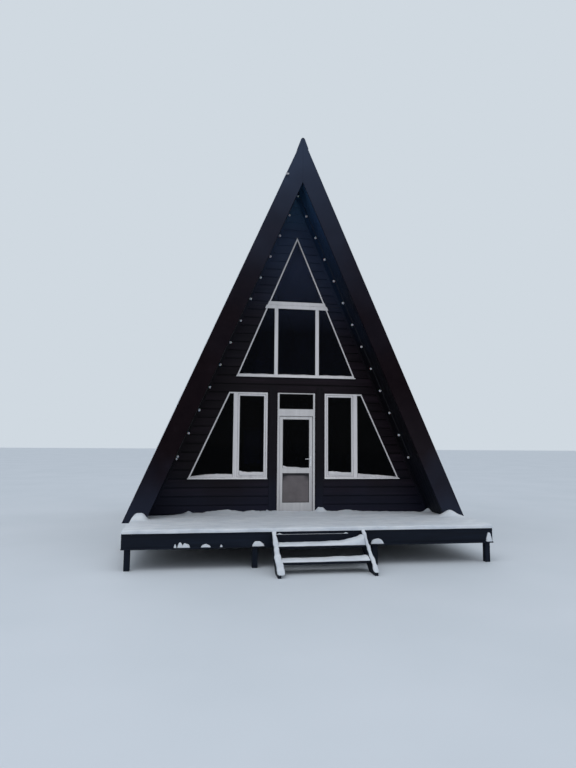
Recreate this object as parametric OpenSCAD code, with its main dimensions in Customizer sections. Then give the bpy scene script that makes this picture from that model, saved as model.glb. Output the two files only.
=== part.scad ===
// A-frame cabin on a raised timber platform, in millimetres.
// X runs to the right along the front, Y from the stair to the back, Z up from the ground.
// The origin is at ground level, in the middle of the footprint.

/* [Roof] */
// Width across the outer roof faces at deck level
roof_w = 7100; // [6800:10:7600]
// Height of the roof's outer apex above the deck
ridge_h = 8230; // [7900:10:8800]
// Reach of the roof in front of the front wall
front_overhang = 950; // [600:10:1200]
// Reach of the roof behind the back wall
back_overhang = 500; // [300:10:900]
// Width of a rake board, square to its length
rake_w = 400; // [380:5:440]
// Thickness of a rake board
rake_t = 40; // [25:1:60]
// How far a rake board hangs below the soffit, square to the slope
rake_lip = 15; // [5:1:30]
// Depth of the roof cladding's profile
clad_t = 30; // [20:1:40]
// Thickness of the rafters with their lining
roof_t = 250; // [200:5:280]
// Length of the ridge cap's leg down each slope
cap_leg = 240; // [150:10:320]
// Thickness of the folded ridge cap
cap_t = 12; // [6:1:20]

/* [Platform] */
// Height of the deck boards above the ground
deck_z = 630; // [550:10:800]
// Gap from a roof slope's outer face to the platform's side, at deck level
deck_inset = 125; // [90:5:250]
// Offset of the platform to the right of the ridge line
deck_x = 45; // [0:5:80]
// Depth of the open deck in front of the front wall
deck_d = 2235; // [1600:5:3000]
// Thickness of the deck boards and the subfloor
board_t = 40; // [30:1:50]
// Height of the fascia boards round the platform
fascia_h = 270; // [240:5:300]
// Thickness of the fascia boards
fascia_t = 40; // [25:1:50]
// Height of the cross beams on the posts
beam_h = 100; // [80:5:120]
// Width of a cross beam
beam_w = 100; // [80:5:140]
// Width of a floor joist
joist_w = 50; // [40:5:70]
// Largest gap from joist to joist, centre to centre
joist_pitch = 640; // [450:10:800]
// Side of a square ground post
post_w = 100; // [80:5:140]
// Gap from the platform's side to the outer posts
post_inset = 55; // [45:5:120]
// Number of post rows from front to back
post_rows = 5; // [4:1:6]
// Number of posts in a row
post_files = 4; // [3:1:6]
// Height of the ledge batten along the front fascia's foot
ledge_h = 25; // [15:1:40]
// Reach of the ledge batten in front of the fascia
ledge_out = 35; // [20:1:50]

/* [Stair] */
// Number of risers from the ground to the deck
risers = 3; // [2:1:4]
// Outer width of the stair
stair_w = 1710; // [1200:10:2000]
// Offset of the stair's middle to the right of the ridge line
stair_x = 95; // [-300:5:300]
// Depth of one step
tread_run = 300; // [260:5:330]
// Gap behind a tread
tread_gap = 10; // [5:1:20]
// How far the stringers stop short of a full last step
foot_cut = 70; // [40:5:120]
// Thickness of a tread
tread_t = 45; // [35:1:60]
// Thickness of a stringer
stringer_t = 60; // [40:1:80]
// Height of a stringer, square to its slope
stringer_h = 240; // [200:5:280]

/* [Cabin] */
// Length of the cabin over its end walls
cabin_len = 6400; // [4800:50:8000]
// Thickness of the end walls with their siding
wall_t = 180; // [140:5:240]
// Thickness of the siding boards that the end walls carry
siding_t = 20; // [15:1:25]
// Thickness of the finished floor
floor_t = 25; // [15:1:35]
// Gap from the lower windows' tops up to the loft floor's underside
loft_gap = 70; // [20:5:120]
// Thickness of the loft floor
loft_t = 220; // [160:5:240]
// Width of the hatch in the loft floor
hatch_w = 900; // [700:10:1100]
// Length of the hatch in the loft floor
hatch_l = 1800; // [1200:10:2200]
// Gap from the back wall to the hatch
hatch_gap = 300; // [200:10:600]
// Gap from the right roof slope to the hatch
hatch_side = 200; // [150:10:400]
// Width of the trim along the sloping wall edges
edge_trim_w = 55; // [30:5:80]
// Width of the upright trim boards beside the door
side_trim_w = 156; // [100:2:170]
// How far the upright trim boards rise above the lower windows' tops
side_trim_over = 126; // [60:2:180]
// Thickness of the trim boards
trim_t = 30; // [25:1:40]

/* [Windows and door unit] */
// Offset of the windows and the door to the right of the ridge line
opening_x = 45; // [0:5:80]
// Height of the lower windows' feet above the deck
low_sill = 785; // [650:5:1000]
// Height of the tops of the lower windows and the door unit above the deck
head_h = 2700; // [2500:5:2800]
// Gap from the middle to a lower window's upright edge
low_in = 646; // [600:2:700]
// Siding left between the sloping trim and a lower window's outer foot
low_foot_gap = 280; // [120:5:420]
// Siding left between the sloping trim and a lower window's outer top corner
low_top_gap = 320; // [120:5:360]
// Width of a window frame member, seen from the front
frame_w = 40; // [35:1:60]
// Depth of the window and door frames, front to back
frame_d = 70; // [60:1:80]
// How far the frames stand in front of the siding
frame_out = 10; // [5:1:20]
// Width of a sash member, seen from the front
sash_w = 48; // [40:1:60]
// Distance from the middle to the inner edge of a lower window's mullion
mullion_in = 1266; // [1150:2:1300]
// Width of a lower window's mullion
mullion_w = 146; // [100:2:160]
// Thickness of a glass unit
glass_t = 24; // [16:1:32]
// Reach of a window sill in front of its frame
sill_out = 35; // [20:1:50]
// Height of a window sill's nose
sill_h = 20; // [12:1:30]
// Siding left between the lower windows' tops and the upper window's foot
up_sill_gap = 344; // [300:2:440]
// Siding left between the sloping trim and the upper window's apex
up_top_gap = 312; // [200:4:420]
// Siding left between the sloping trim and the upper window's lower corners
up_foot_gap = 320; // [200:4:420]
// Height of the panes below the upper window's band
up_pane_h = 1504; // [1300:4:1700]
// Height of the upper window's band
band_h = 174; // [120:2:200]
// Distance from the middle to the outer edge of an upper mullion
up_mull_out = 516; // [400:2:600]
// Width of an upper mullion
up_mull_w = 90; // [60:2:110]
// Height of the upper window's bottom rail
up_rail = 70; // [45:1:90]

/* [Door] */
// Outer width of the door unit
door_w = 860; // [800:5:940]
// Width of the door frame's upright members
jamb_w = 50; // [40:1:60]
// Height of the door frame's head
door_head = 30; // [25:1:50]
// Height of the threshold above the deck
threshold_h = 40; // [35:1:60]
// Height of the transom pane
transom_pane_h = 330; // [250:5:450]
// Height of the transom bar
transom_h = 164; // [100:2:180]
// Gap between the leaf and its frame, below it, above it and beside the lock
leaf_gap = 8; // [6:0.5:10]
// Gap between the leaf and its frame beside the hinges
hinge_side_gap = 5; // [5:0.5:8]
// Thickness of the door leaf
leaf_t = 50; // [40:1:55]
// Width of the leaf's upright members
stile_w = 78; // [70:1:100]
// Height of the leaf's top rail
top_rail = 68; // [60:1:110]
// Height of the leaf's middle rail
mid_rail = 124; // [100:1:160]
// Height of the lower pane's foot above the deck
pane_foot = 272; // [180:2:350]
// Height of the leaf's lower pane
low_pane_h = 634; // [450:2:700]
// Height of the door handle above the deck
handle_h = 1225; // [1080:5:1300]
// Length of the handle's lever
lever_l = 130; // [100:5:150]
// Distance of the hinge axis behind the leaf
hinge_back = 12; // [11:0.5:16]
// Radius of a hinge's knuckle
knuckle_r = 8; // [6:0.5:9]
// Height of a hinge
hinge_h = 110; // [80:5:140]
// Distance of the outer hinges from the leaf's foot and top
hinge_end = 150; // [100:10:250]

/* [Back windows] */
// Width of the ground storey's back window
back_low_w = 1500; // [900:10:1800]
// Height of its foot above the deck
back_low_sill = 785; // [650:5:1000]
// Height of the ground storey's back window
back_low_h = 1285; // [900:5:1600]
// Width of the loft's back window
back_up_w = 900; // [600:10:1100]
// Height of its foot above the loft floor
back_up_sill = 480; // [300:10:700]
// Height of the loft's back window
back_up_h = 1000; // [700:10:1200]

/* [String lights] */
// Radius of a bulb
bulb_r = 28; // [20:1:35]
// Height of the lowest bulbs above the deck
bulb_up = 1290; // [1000:10:1600]
// Rise from bulb to bulb
bulb_rise = 494; // [400:2:600]
// Distance of the string in front of the front wall
string_out = 330; // [200:10:500]
// Radius of the string's cord
cord_r = 5; // [3:0.5:8]
// Gap between the soffits and the bulb in the apex
bulb_gap = 3; // [2:0.5:10]

/* [Insulated hook] */
// How far the insulated hook lies below the roof's outer apex
anchor_drop = 875; // [700:5:1200]
// Distance of the hook from the left rake board's outer edge
anchor_in = 30; // [25:1:120]
// Radius of the hook's insulator
anchor_r = 20; // [12:1:30]
// Length of the insulator
anchor_l = 55; // [40:1:80]
// Length of the pin between the rake board and the insulator
pin_l = 40; // [20:1:60]

/* [Hidden] */

// Heights above the ground
ridge_z = deck_z + ridge_h;
low_z0 = deck_z + low_sill;
head_z = deck_z + head_h;
loft_z = head_z + loft_gap;
up_z0 = head_z + up_sill_gap;
band_z0 = up_z0 + up_rail + up_pane_h;
transom_z0 = head_z - door_head - transom_pane_h - transom_h;
pane_foot_z = deck_z + pane_foot;
mid_rail_z = pane_foot_z + low_pane_h;
handle_z = deck_z + handle_h;
back_low_z0 = deck_z + back_low_sill;
back_up_z0 = loft_z + loft_t + back_up_sill;
bulb_z0 = deck_z + bulb_up;

// Tangent of the angle between a roof face and the upright, and the angle
slope = (roof_w / 2) / ridge_h;
lean = atan(slope);

// Half width of the plane at depth d below the outer roof face, at height z
function half_at(z, d) = (ridge_z - z) * slope - d / cos(lean);

// Height where the plane at depth d meets the middle
function apex_at(d) = ridge_z - d / sin(lean);

// Places along Y, worked out so that the footprint's middle is at zero
tread_rise = deck_z / risers;
stair_reach = risers * tread_run - foot_cut;
wall_y = (stair_reach + deck_d - cabin_len - back_overhang) / 2;
deck_y = wall_y - deck_d;
rake_y = wall_y - front_overhang;
back_y = wall_y + cabin_len;
end_y = back_y + back_overhang;

// Depths below the outer roof face, square to the slope
roof_d0 = clad_t;
roof_d1 = clad_t + roof_t;
soffit_d1 = rake_w - rake_lip;
siding_d = soffit_d1 + edge_trim_w;

// Depth of the floors' and end walls' sloping edges, a hair inside the roof's inner faces
fit_gap = 0.5;
inner_d = roof_d1 + fit_gap;

// Heights in the platform
fascia_z = deck_z - fascia_h;
beam_z1 = fascia_z + beam_h;
joist_z1 = deck_z - board_t;

// Width and sides of the platform
deck_w = roof_w - 2 * deck_inset;
deck_left = deck_x - deck_w / 2;
deck_right = deck_x + deck_w / 2;

// Frame and leaf planes along Y
frame_y0 = wall_y - frame_out;
frame_y1 = frame_y0 + frame_d;
glass_y0 = frame_y0 + (frame_d - glass_t) / 2;
leaf_y1 = frame_y1;
leaf_y0 = leaf_y1 - leaf_t;
hinge_y = leaf_y1 + hinge_back;

// Distance from a hinge's axis to the edges of the leaf and of the hinge plates
hinge_set = 2;

// Door places along X and Z
door_left = opening_x - door_w / 2;
door_right = opening_x + door_w / 2;
leaf_left = door_left + jamb_w + hinge_side_gap;
leaf_right = door_right - jamb_w - leaf_gap;
leaf_z0 = deck_z + threshold_h + leaf_gap;
leaf_z1 = transom_z0 - leaf_gap;
hinge_x = leaf_left - hinge_set;

// How far a cut runs past the faces it opens
cut = 1;

// Extrudes an outline in X and Z from y0 to y1
module slab_y(y0, y1) {
    translate([0, y1, 0])
        rotate([90, 0, 0])
            linear_extrude(height = y1 - y0)
                children();
}

// Right-hand roof layer between the depths d0 and d1, from the deck to the middle
module roof_layer(d0, d1, y0, y1, z0 = deck_z) {
    slab_y(y0, y1)
        polygon([
            [half_at(z0, d0), z0],
            [0, apex_at(d0)],
            [0, apex_at(d1)],
            [half_at(z0, d1), z0]
        ]);
}

// The same layer on the left
module left_layer(d0, d1, y0, y1) {
    mirror([1, 0, 0])
        roof_layer(d0, d1, y0, y1);
}

// Trapezoid between two heights that fits under the roof's inner faces
module under_roof(z0, z1) {
    polygon([
        [-half_at(z0, inner_d), z0],
        [half_at(z0, inner_d), z0],
        [half_at(z1, inner_d), z1],
        [-half_at(z1, inner_d), z1]
    ]);
}

// Triangle from height z up to the roof's inner apex
module gable(z) {
    polygon([
        [-half_at(z, inner_d), z],
        [half_at(z, inner_d), z],
        [0, apex_at(inner_d)]
    ]);
}

// Platform

module ground_posts() {
    span_x = deck_w - 2 * post_inset - post_w;
    span_y = end_y - deck_y - post_w;
    color("#2b2a2c")
        for (i = [0:post_files - 1], j = [0:post_rows - 1])
            translate([
                deck_left + post_inset + i * span_x / (post_files - 1),
                deck_y + j * span_y / (post_rows - 1),
                0
            ])
                cube([post_w, post_w, fascia_z]);
}

module cross_beams() {
    span_y = end_y - deck_y - 2 * fascia_t - beam_w;
    color("#2b2a2c")
        for (j = [0:post_rows - 1])
            translate([
                deck_left + fascia_t,
                deck_y + fascia_t + j * span_y / (post_rows - 1),
                fascia_z
            ])
                cube([deck_w - 2 * fascia_t, beam_w, beam_h]);
}

module floor_joists() {
    span = deck_w - 2 * fascia_t - joist_w;
    bays = ceil(span / joist_pitch);
    color("#2b2a2c")
        for (i = [0:bays])
            translate([deck_left + fascia_t + i * span / bays, deck_y + fascia_t, beam_z1])
                cube([joist_w, end_y - deck_y - 2 * fascia_t, joist_z1 - beam_z1]);
}

// Ledge batten along the foot of the front fascia, from x0 to x1
module ledge(x0, x1) {
    translate([x0, deck_y - ledge_out, fascia_z])
        cube([x1 - x0, ledge_out, ledge_h]);
}

module front_fascia() {
    color("#24262c") {
        translate([deck_left, deck_y, fascia_z])
            cube([deck_w, fascia_t, fascia_h - board_t]);
        ledge(deck_left, stair_x - stair_w / 2);
        ledge(stair_x + stair_w / 2, deck_right);
    }
}

// Fascia along one side, its outer face at x
module side_fascia(x) {
    translate([x, deck_y + fascia_t, fascia_z])
        cube([fascia_t, end_y - deck_y - 2 * fascia_t, fascia_h - board_t]);
}

module side_fascias() {
    color("#24262c") {
        side_fascia(deck_left);
        side_fascia(deck_right - fascia_t);
    }
}

module back_fascia() {
    color("#24262c")
        translate([deck_left, end_y - fascia_t, fascia_z])
            cube([deck_w, fascia_t, fascia_h - board_t]);
}

module deck_boards() {
    color("#2b2a2c")
        translate([deck_left, deck_y, joist_z1])
            cube([deck_w, wall_y - deck_y, board_t]);
}

module subfloor() {
    color("#4a3c30")
        translate([deck_left, wall_y, joist_z1])
            cube([deck_w, end_y - wall_y, board_t]);
}

module cabin_floor() {
    color("#7a6048")
        slab_y(wall_y + wall_t, back_y - wall_t)
            under_roof(deck_z, deck_z + floor_t);
}

module loft_floor() {
    color("#7a6048")
        difference() {
            slab_y(wall_y + wall_t, back_y - wall_t)
                under_roof(loft_z, loft_z + loft_t);
            translate([
                half_at(loft_z + loft_t, roof_d1) - hatch_side - hatch_w,
                back_y - wall_t - hatch_gap - hatch_l,
                loft_z - cut
            ])
                cube([hatch_w, hatch_l, loft_t + 2 * cut]);
        }
}

// Stair

// Side outline of a stringer, with u forward from the fascia and z up
module stringer_outline() {
    pitch = tread_rise / tread_run;
    drop = stringer_h / cos(atan(pitch));
    polygon([
        [0, deck_z],
        [stair_reach, deck_z - stair_reach * pitch],
        [stair_reach, 0],
        [(deck_z - drop) / pitch, 0],
        [0, deck_z - drop]
    ]);
}

// Stringer with its left face at x
module stringer(x) {
    translate([x, deck_y, 0])
        rotate([90, 0, -90])
            translate([0, 0, -stringer_t])
                linear_extrude(height = stringer_t)
                    stringer_outline();
}

module stringers() {
    color("#24262c") {
        stringer(stair_x - stair_w / 2);
        stringer(stair_x + stair_w / 2 - stringer_t);
    }
}

// Tread number n, counted down from the deck
module tread(n) {
    translate([
        stair_x - stair_w / 2 + stringer_t,
        deck_y - n * tread_run,
        deck_z - n * tread_rise - tread_t
    ])
        cube([stair_w - 2 * stringer_t, tread_run - tread_gap, tread_t]);
}

module treads() {
    color("#24262c")
        for (n = [1:risers - 1])
            tread(n);
}

// Roof

module left_roof() {
    color("#3a2f2b")
        left_layer(roof_d0, roof_d1, rake_y + rake_t, end_y - rake_t);
}

module right_roof() {
    color("#3a2f2b")
        roof_layer(roof_d0, roof_d1, rake_y + rake_t, end_y - rake_t);
}

module left_cladding() {
    color("#3b3231")
        left_layer(0, roof_d0, rake_y + rake_t, end_y - rake_t);
}

module right_cladding() {
    color("#3b3231")
        roof_layer(0, roof_d0, rake_y + rake_t, end_y - rake_t);
}

module ridge_cap() {
    cap_z = apex_at(0) - cap_leg * cos(lean);
    top = apex_at(-cap_t);
    color("#3b3231")
        slab_y(rake_y, end_y)
            polygon([
                [half_at(cap_z, 0), cap_z],
                [half_at(cap_z, -cap_t), cap_z],
                [half_at(top - cap_t, -cap_t), top - cap_t],
                [-half_at(top - cap_t, -cap_t), top - cap_t],
                [-half_at(cap_z, -cap_t), cap_z],
                [-half_at(cap_z, 0), cap_z],
                [0, apex_at(0)]
            ]);
}

module front_left_rake() {
    color("#3b3231")
        left_layer(0, rake_w, rake_y, rake_y + rake_t);
}

module front_right_rake() {
    color("#3b3231")
        roof_layer(0, rake_w, rake_y, rake_y + rake_t);
}

module back_left_rake() {
    color("#3b3231")
        left_layer(0, rake_w, end_y - rake_t, end_y);
}

module back_right_rake() {
    color("#3b3231")
        roof_layer(0, rake_w, end_y - rake_t, end_y);
}

module front_soffits() {
    color("#241f1f") {
        left_layer(roof_d1, soffit_d1, rake_y + rake_t, wall_y + siding_t);
        roof_layer(roof_d1, soffit_d1, rake_y + rake_t, wall_y + siding_t);
    }
}

module back_soffits() {
    color("#241f1f") {
        left_layer(roof_d1, soffit_d1, back_y - siding_t, end_y - rake_t);
        roof_layer(roof_d1, soffit_d1, back_y - siding_t, end_y - rake_t);
    }
}

// Window outlines, in X and Z from the middle of the openings

// Distances from the middle to a lower window's outer foot and outer top corner
low_foot = half_at(low_z0, siding_d + low_foot_gap) - opening_x;
low_top = half_at(head_z, siding_d + low_top_gap) - opening_x;

// Tangent of a lower window's sloping edge from the upright
low_slope = (low_foot - low_top) / (head_z - low_z0);

// Sloping edge of a lower window at height z, moved in by w square to it
function low_edge(z, w) = low_foot - (z - low_z0) * low_slope - w / cos(atan(low_slope));

// Outline of the right lower window
module low_window_outline() {
    polygon([
        [low_in, low_z0],
        [low_foot, low_z0],
        [low_top, head_z],
        [low_in, head_z]
    ]);
}

// Casement pane of the right lower window
module casement_outline() {
    border = frame_w + sash_w;
    polygon([
        [low_in + border, low_z0 + border],
        [mullion_in, low_z0 + border],
        [mullion_in, head_z - border],
        [low_in + border, head_z - border]
    ]);
}

// Fixed pane of the right lower window
module fixed_outline() {
    x0 = mullion_in + mullion_w;
    z0 = low_z0 + frame_w;
    z1 = head_z - frame_w;
    polygon([
        [x0, z0],
        [low_edge(z0, frame_w), z0],
        [low_edge(z1, frame_w), z1],
        [x0, z1]
    ]);
}

// Height of the upper window's apex, and half of its width at its foot
up_apex = apex_at(siding_d + up_top_gap);
up_half = half_at(up_z0, siding_d + up_foot_gap) - opening_x;

// Tangent of the upper window's sloping edges from the upright
up_slope = up_half / (up_apex - up_z0);

// Sloping edge of the upper window at height z, moved in by w square to it
function up_edge(z, w) = (up_apex - z) * up_slope - w / cos(atan(up_slope));

module up_window_outline() {
    polygon([[-up_half, up_z0], [up_half, up_z0], [0, up_apex]]);
}

// Pane above the band
module up_top_outline() {
    z0 = band_z0 + band_h;
    polygon([
        [-up_edge(z0, frame_w), z0],
        [up_edge(z0, frame_w), z0],
        [0, up_apex - frame_w / sin(atan(up_slope))]
    ]);
}

// Pane between the two mullions
module up_middle_outline() {
    x = up_mull_out - up_mull_w;
    z0 = up_z0 + up_rail;
    polygon([[-x, z0], [x, z0], [x, band_z0], [-x, band_z0]]);
}

// Pane on the right of the right mullion
module up_side_outline() {
    z0 = up_z0 + up_rail;
    polygon([
        [up_mull_out, z0],
        [up_edge(z0, frame_w), z0],
        [up_edge(band_z0, frame_w), band_z0],
        [up_mull_out, band_z0]
    ]);
}

// End walls

module front_wall_left() {
    color("#2a2223")
        slab_y(wall_y + siding_t, wall_y + wall_t)
            difference() {
                intersection() {
                    under_roof(deck_z, head_z);
                    translate([door_left - roof_w, 0])
                        square([roof_w, head_z]);
                }
                translate([opening_x, 0])
                    mirror([1, 0])
                        low_window_outline();
            }
}

module front_wall_right() {
    color("#2a2223")
        slab_y(wall_y + siding_t, wall_y + wall_t)
            difference() {
                intersection() {
                    under_roof(deck_z, head_z);
                    translate([door_right, 0])
                        square([roof_w, head_z]);
                }
                translate([opening_x, 0])
                    low_window_outline();
            }
}

module front_wall_upper() {
    color("#2a2223")
        slab_y(wall_y + siding_t, wall_y + wall_t)
            difference() {
                gable(head_z);
                translate([opening_x, 0])
                    up_window_outline();
            }
}

// Rectangle of width w and height h about the middle, its foot at z0
module tall_box(w, z0, h) {
    translate([-w / 2, z0])
        square([w, h]);
}

module back_wall() {
    color("#2a2223")
        slab_y(back_y - wall_t, back_y - siding_t)
            difference() {
                gable(deck_z);
                tall_box(back_low_w, back_low_z0, back_low_h);
                tall_box(back_up_w, back_up_z0, back_up_h);
            }
}

module wall_edge_trims() {
    y1 = wall_y + siding_t;
    color("#1f1a1b") {
        left_layer(soffit_d1, siding_d, y1 - trim_t, y1);
        roof_layer(soffit_d1, siding_d, y1 - trim_t, y1);
    }
}

// Upright trim board halfway between a lower window and the door unit
module side_trim() {
    gap = low_in - door_w / 2;
    translate([door_w / 2 + (gap - side_trim_w) / 2, wall_y + siding_t - trim_t, deck_z])
        cube([side_trim_w, trim_t, head_h + side_trim_over]);
}

module door_side_trims() {
    color("#1f1a1b")
        translate([opening_x, 0, 0]) {
            side_trim();
            mirror([1, 0, 0])
                side_trim();
        }
}

// Front windows

// Sill from x0 to x1 in front of a frame whose foot is at z
module sill(x0, x1, z) {
    translate([x0, frame_y0 - sill_out, z])
        cube([x1 - x0, sill_out, sill_h]);
}

// Frame of the right lower window
module low_frame() {
    slab_y(frame_y0, frame_y1)
        difference() {
            low_window_outline();
            casement_outline();
            fixed_outline();
        }
    sill(low_in, low_foot, low_z0);
}

// Panes of the right lower window
module low_glass() {
    slab_y(glass_y0, glass_y0 + glass_t) {
        casement_outline();
        fixed_outline();
    }
}

module low_window_frames() {
    color("#d9dde2")
        translate([opening_x, 0, 0]) {
            low_frame();
            mirror([1, 0, 0])
                low_frame();
        }
}

module low_window_glass() {
    color("#20262c", 0.5)
        translate([opening_x, 0, 0]) {
            low_glass();
            mirror([1, 0, 0])
                low_glass();
        }
}

module upper_window_frame() {
    color("#d9dde2")
        translate([opening_x, 0, 0]) {
            slab_y(frame_y0, frame_y1)
                difference() {
                    up_window_outline();
                    up_top_outline();
                    up_middle_outline();
                    up_side_outline();
                    mirror([1, 0])
                        up_side_outline();
                }
            sill(-up_half, up_half, up_z0);
        }
}

module upper_window_glass() {
    color("#20262c", 0.5)
        translate([opening_x, 0, 0])
            slab_y(glass_y0, glass_y0 + glass_t) {
                up_top_outline();
                up_middle_outline();
                up_side_outline();
                mirror([1, 0])
                    up_side_outline();
            }
}

// Back windows

// Places along Y of the back windows' frames and glass
back_frame_y1 = back_y + frame_out;
back_glass_y0 = back_frame_y1 - (frame_d + glass_t) / 2;

// Pane of a back window of width w and height h, its lower left corner at x0 and z0
module back_pane(x0, w, z0, h) {
    border = frame_w + sash_w;
    translate([x0 + border, z0 + border])
        square([w - 2 * border, h - 2 * border]);
}

// The ground storey's back window has two panes side by side
module back_low_panes() {
    back_pane(-back_low_w / 2, (back_low_w + frame_w) / 2, back_low_z0, back_low_h);
    back_pane(-frame_w / 2, (back_low_w + frame_w) / 2, back_low_z0, back_low_h);
}

// Sill behind a back window of width w whose foot is at z
module back_sill(w, z) {
    translate([-w / 2, back_frame_y1, z])
        cube([w, sill_out, sill_h]);
}

module back_window_frames() {
    color("#d9dde2") {
        slab_y(back_frame_y1 - frame_d, back_frame_y1) {
            difference() {
                tall_box(back_low_w, back_low_z0, back_low_h);
                back_low_panes();
            }
            difference() {
                tall_box(back_up_w, back_up_z0, back_up_h);
                back_pane(-back_up_w / 2, back_up_w, back_up_z0, back_up_h);
            }
        }
        back_sill(back_low_w, back_low_z0);
        back_sill(back_up_w, back_up_z0);
    }
}

module back_window_glass() {
    color("#20262c", 0.5)
        slab_y(back_glass_y0, back_glass_y0 + glass_t) {
            back_low_panes();
            back_pane(-back_up_w / 2, back_up_w, back_up_z0, back_up_h);
        }
}

// Door unit

module transom_outline() {
    z0 = transom_z0 + transom_h;
    translate([door_left + jamb_w, z0])
        square([door_w - 2 * jamb_w, transom_pane_h]);
}

module door_frame() {
    doorway_z = deck_z + threshold_h;
    color("#d9dde2")
        slab_y(frame_y0, frame_y1)
            difference() {
                translate([door_left, deck_z])
                    square([door_w, head_z - deck_z]);
                transom_outline();
                translate([door_left + jamb_w, doorway_z])
                    square([door_w - 2 * jamb_w, transom_z0 - doorway_z]);
            }
}

module transom_glass() {
    color("#20262c", 0.5)
        slab_y(glass_y0, glass_y0 + glass_t)
            transom_outline();
}

module leaf_upper_outline() {
    z0 = mid_rail_z + mid_rail;
    translate([leaf_left + stile_w, z0])
        square([leaf_right - leaf_left - 2 * stile_w, leaf_z1 - top_rail - z0]);
}

module leaf_lower_outline() {
    translate([leaf_left + stile_w, pane_foot_z])
        square([leaf_right - leaf_left - 2 * stile_w, low_pane_h]);
}

module door_leaf() {
    color("#d9dde2")
        slab_y(leaf_y0, leaf_y1)
            difference() {
                translate([leaf_left, leaf_z0])
                    square([leaf_right - leaf_left, leaf_z1 - leaf_z0]);
                leaf_upper_outline();
                leaf_lower_outline();
            }
}

// Glass in the middle of the leaf's thickness
module leaf_pane() {
    y0 = leaf_y0 + (leaf_t - glass_t) / 2;
    slab_y(y0, y0 + glass_t)
        children();
}

module leaf_upper_glass() {
    color("#20262c", 0.5)
        leaf_pane()
            leaf_upper_outline();
}

module leaf_lower_glass() {
    color("#6e6a6a", 0.5)
        leaf_pane()
            leaf_lower_outline();
}

// Heights of the hinges' feet
hinge_feet = [
    leaf_z0 + hinge_end,
    (leaf_z0 + leaf_z1 - hinge_h) / 2,
    leaf_z1 - hinge_end - hinge_h
];
hinge_plate_t = 5;
hinge_plate_w = 38;
hinge_play = 1;

// Half of one hinge, standing on height z, with its plate on the right of the axis
module half_hinge(z) {
    half_h = (hinge_h - hinge_play) / 2;
    translate([0, hinge_y, z])
        cylinder(r = knuckle_r, h = half_h, $fn = 32);
    translate([hinge_set, leaf_y1, z])
        cube([hinge_plate_w, hinge_plate_t, half_h]);
    translate([hinge_set, leaf_y1, z])
        cube([knuckle_r - hinge_set, hinge_back, half_h]);
}

// Lower half of each hinge, on the frame
module frame_hinges() {
    color("#d9dde2")
        translate([hinge_x, 0, 0])
            mirror([1, 0, 0])
                for (z = hinge_feet)
                    half_hinge(z);
}

// Upper half of each hinge, on the leaf
module leaf_hinges() {
    color("#d9dde2")
        translate([hinge_x, 0, 0])
            for (z = hinge_feet)
                half_hinge(z + (hinge_h + hinge_play) / 2);
}

// Lever handles on both faces, each with a plate
handle_x = leaf_right - stile_w / 2;
plate_w = 34;
plate_h = 230;
plate_t = 10;
plate_drop = 165;
lever_r = 9;
lever_reach = 48;
collar_r = 11;

// Handle set on one face, standing out by the given sign along Y from the face at y
module handle_set(y, out) {
    y0 = out < 0 ? y - plate_t : y;
    translate([handle_x - plate_w / 2, y0, handle_z - plate_drop])
        cube([plate_w, plate_t, plate_h]);
    translate([handle_x, y, handle_z])
        rotate([out < 0 ? 90 : -90, 0, 0])
            cylinder(r = collar_r, h = lever_reach + collar_r, $fn = 32);
    translate([handle_x, y + out * lever_reach, handle_z])
        rotate([0, -90, 0])
            cylinder(r = lever_r, h = lever_l, $fn = 32);
}

module door_handle() {
    color("#d9dde2") {
        handle_set(leaf_y0, -1);
        handle_set(leaf_y1, 1);
    }
}

// String lights under the front soffit

cord_d = soffit_d1 + cord_r;
bulb_d = cord_d + cord_r + bulb_r;
bulb_y = wall_y - string_out;
neck_r = bulb_r / 2;

// Number of bulbs on a slope, below the one in the apex
bulb_count = floor((apex_at(bulb_d) - bulb_r / sin(lean) - bulb_z0) / bulb_rise) + 1;

// Bulb at height z on the right slope, hanging square to the soffit
module bulb(z) {
    neck_l = bulb_d - cord_d;
    translate([half_at(z, cord_d), bulb_y, z])
        rotate([0, -90 - lean, 0]) {
            cylinder(r = neck_r, h = neck_l, $fn = 24);
            translate([0, 0, neck_l])
                sphere(r = bulb_r, $fn = 32);
        }
}

// Cord of the right slope up to the apex, and its bulbs
module string_side() {
    cord_l = (apex_at(cord_d) - bulb_z0) / cos(lean);
    translate([half_at(bulb_z0, cord_d), bulb_y, bulb_z0])
        rotate([0, -lean, 0])
            cylinder(r = cord_r, h = cord_l, $fn = 16);
    for (k = [0:bulb_count - 1])
        bulb(bulb_z0 + k * bulb_rise);
}

module string_lights() {
    apex_bulb_z = apex_at(soffit_d1 + bulb_gap + bulb_r);
    color("#f2f0e8") {
        string_side();
        mirror([1, 0, 0])
            string_side();
        translate([0, bulb_y, apex_bulb_z]) {
            sphere(r = bulb_r, $fn = 32);
            cylinder(r = cord_r, h = apex_at(cord_d) - apex_bulb_z, $fn = 16);
        }
    }
}

// Insulated hook on the left rake, below the apex
module wire_anchor() {
    anchor_z = ridge_z - anchor_drop;
    x = half_at(anchor_z, 0) - anchor_in;
    color("#d9dde2")
        translate([-x, rake_y, anchor_z])
            rotate([90, 0, 0]) {
                cylinder(r = anchor_r / 3, h = pin_l, $fn = 24);
                translate([0, 0, pin_l])
                    cylinder(r = anchor_r, h = anchor_l, $fn = 32);
            }
}

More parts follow.
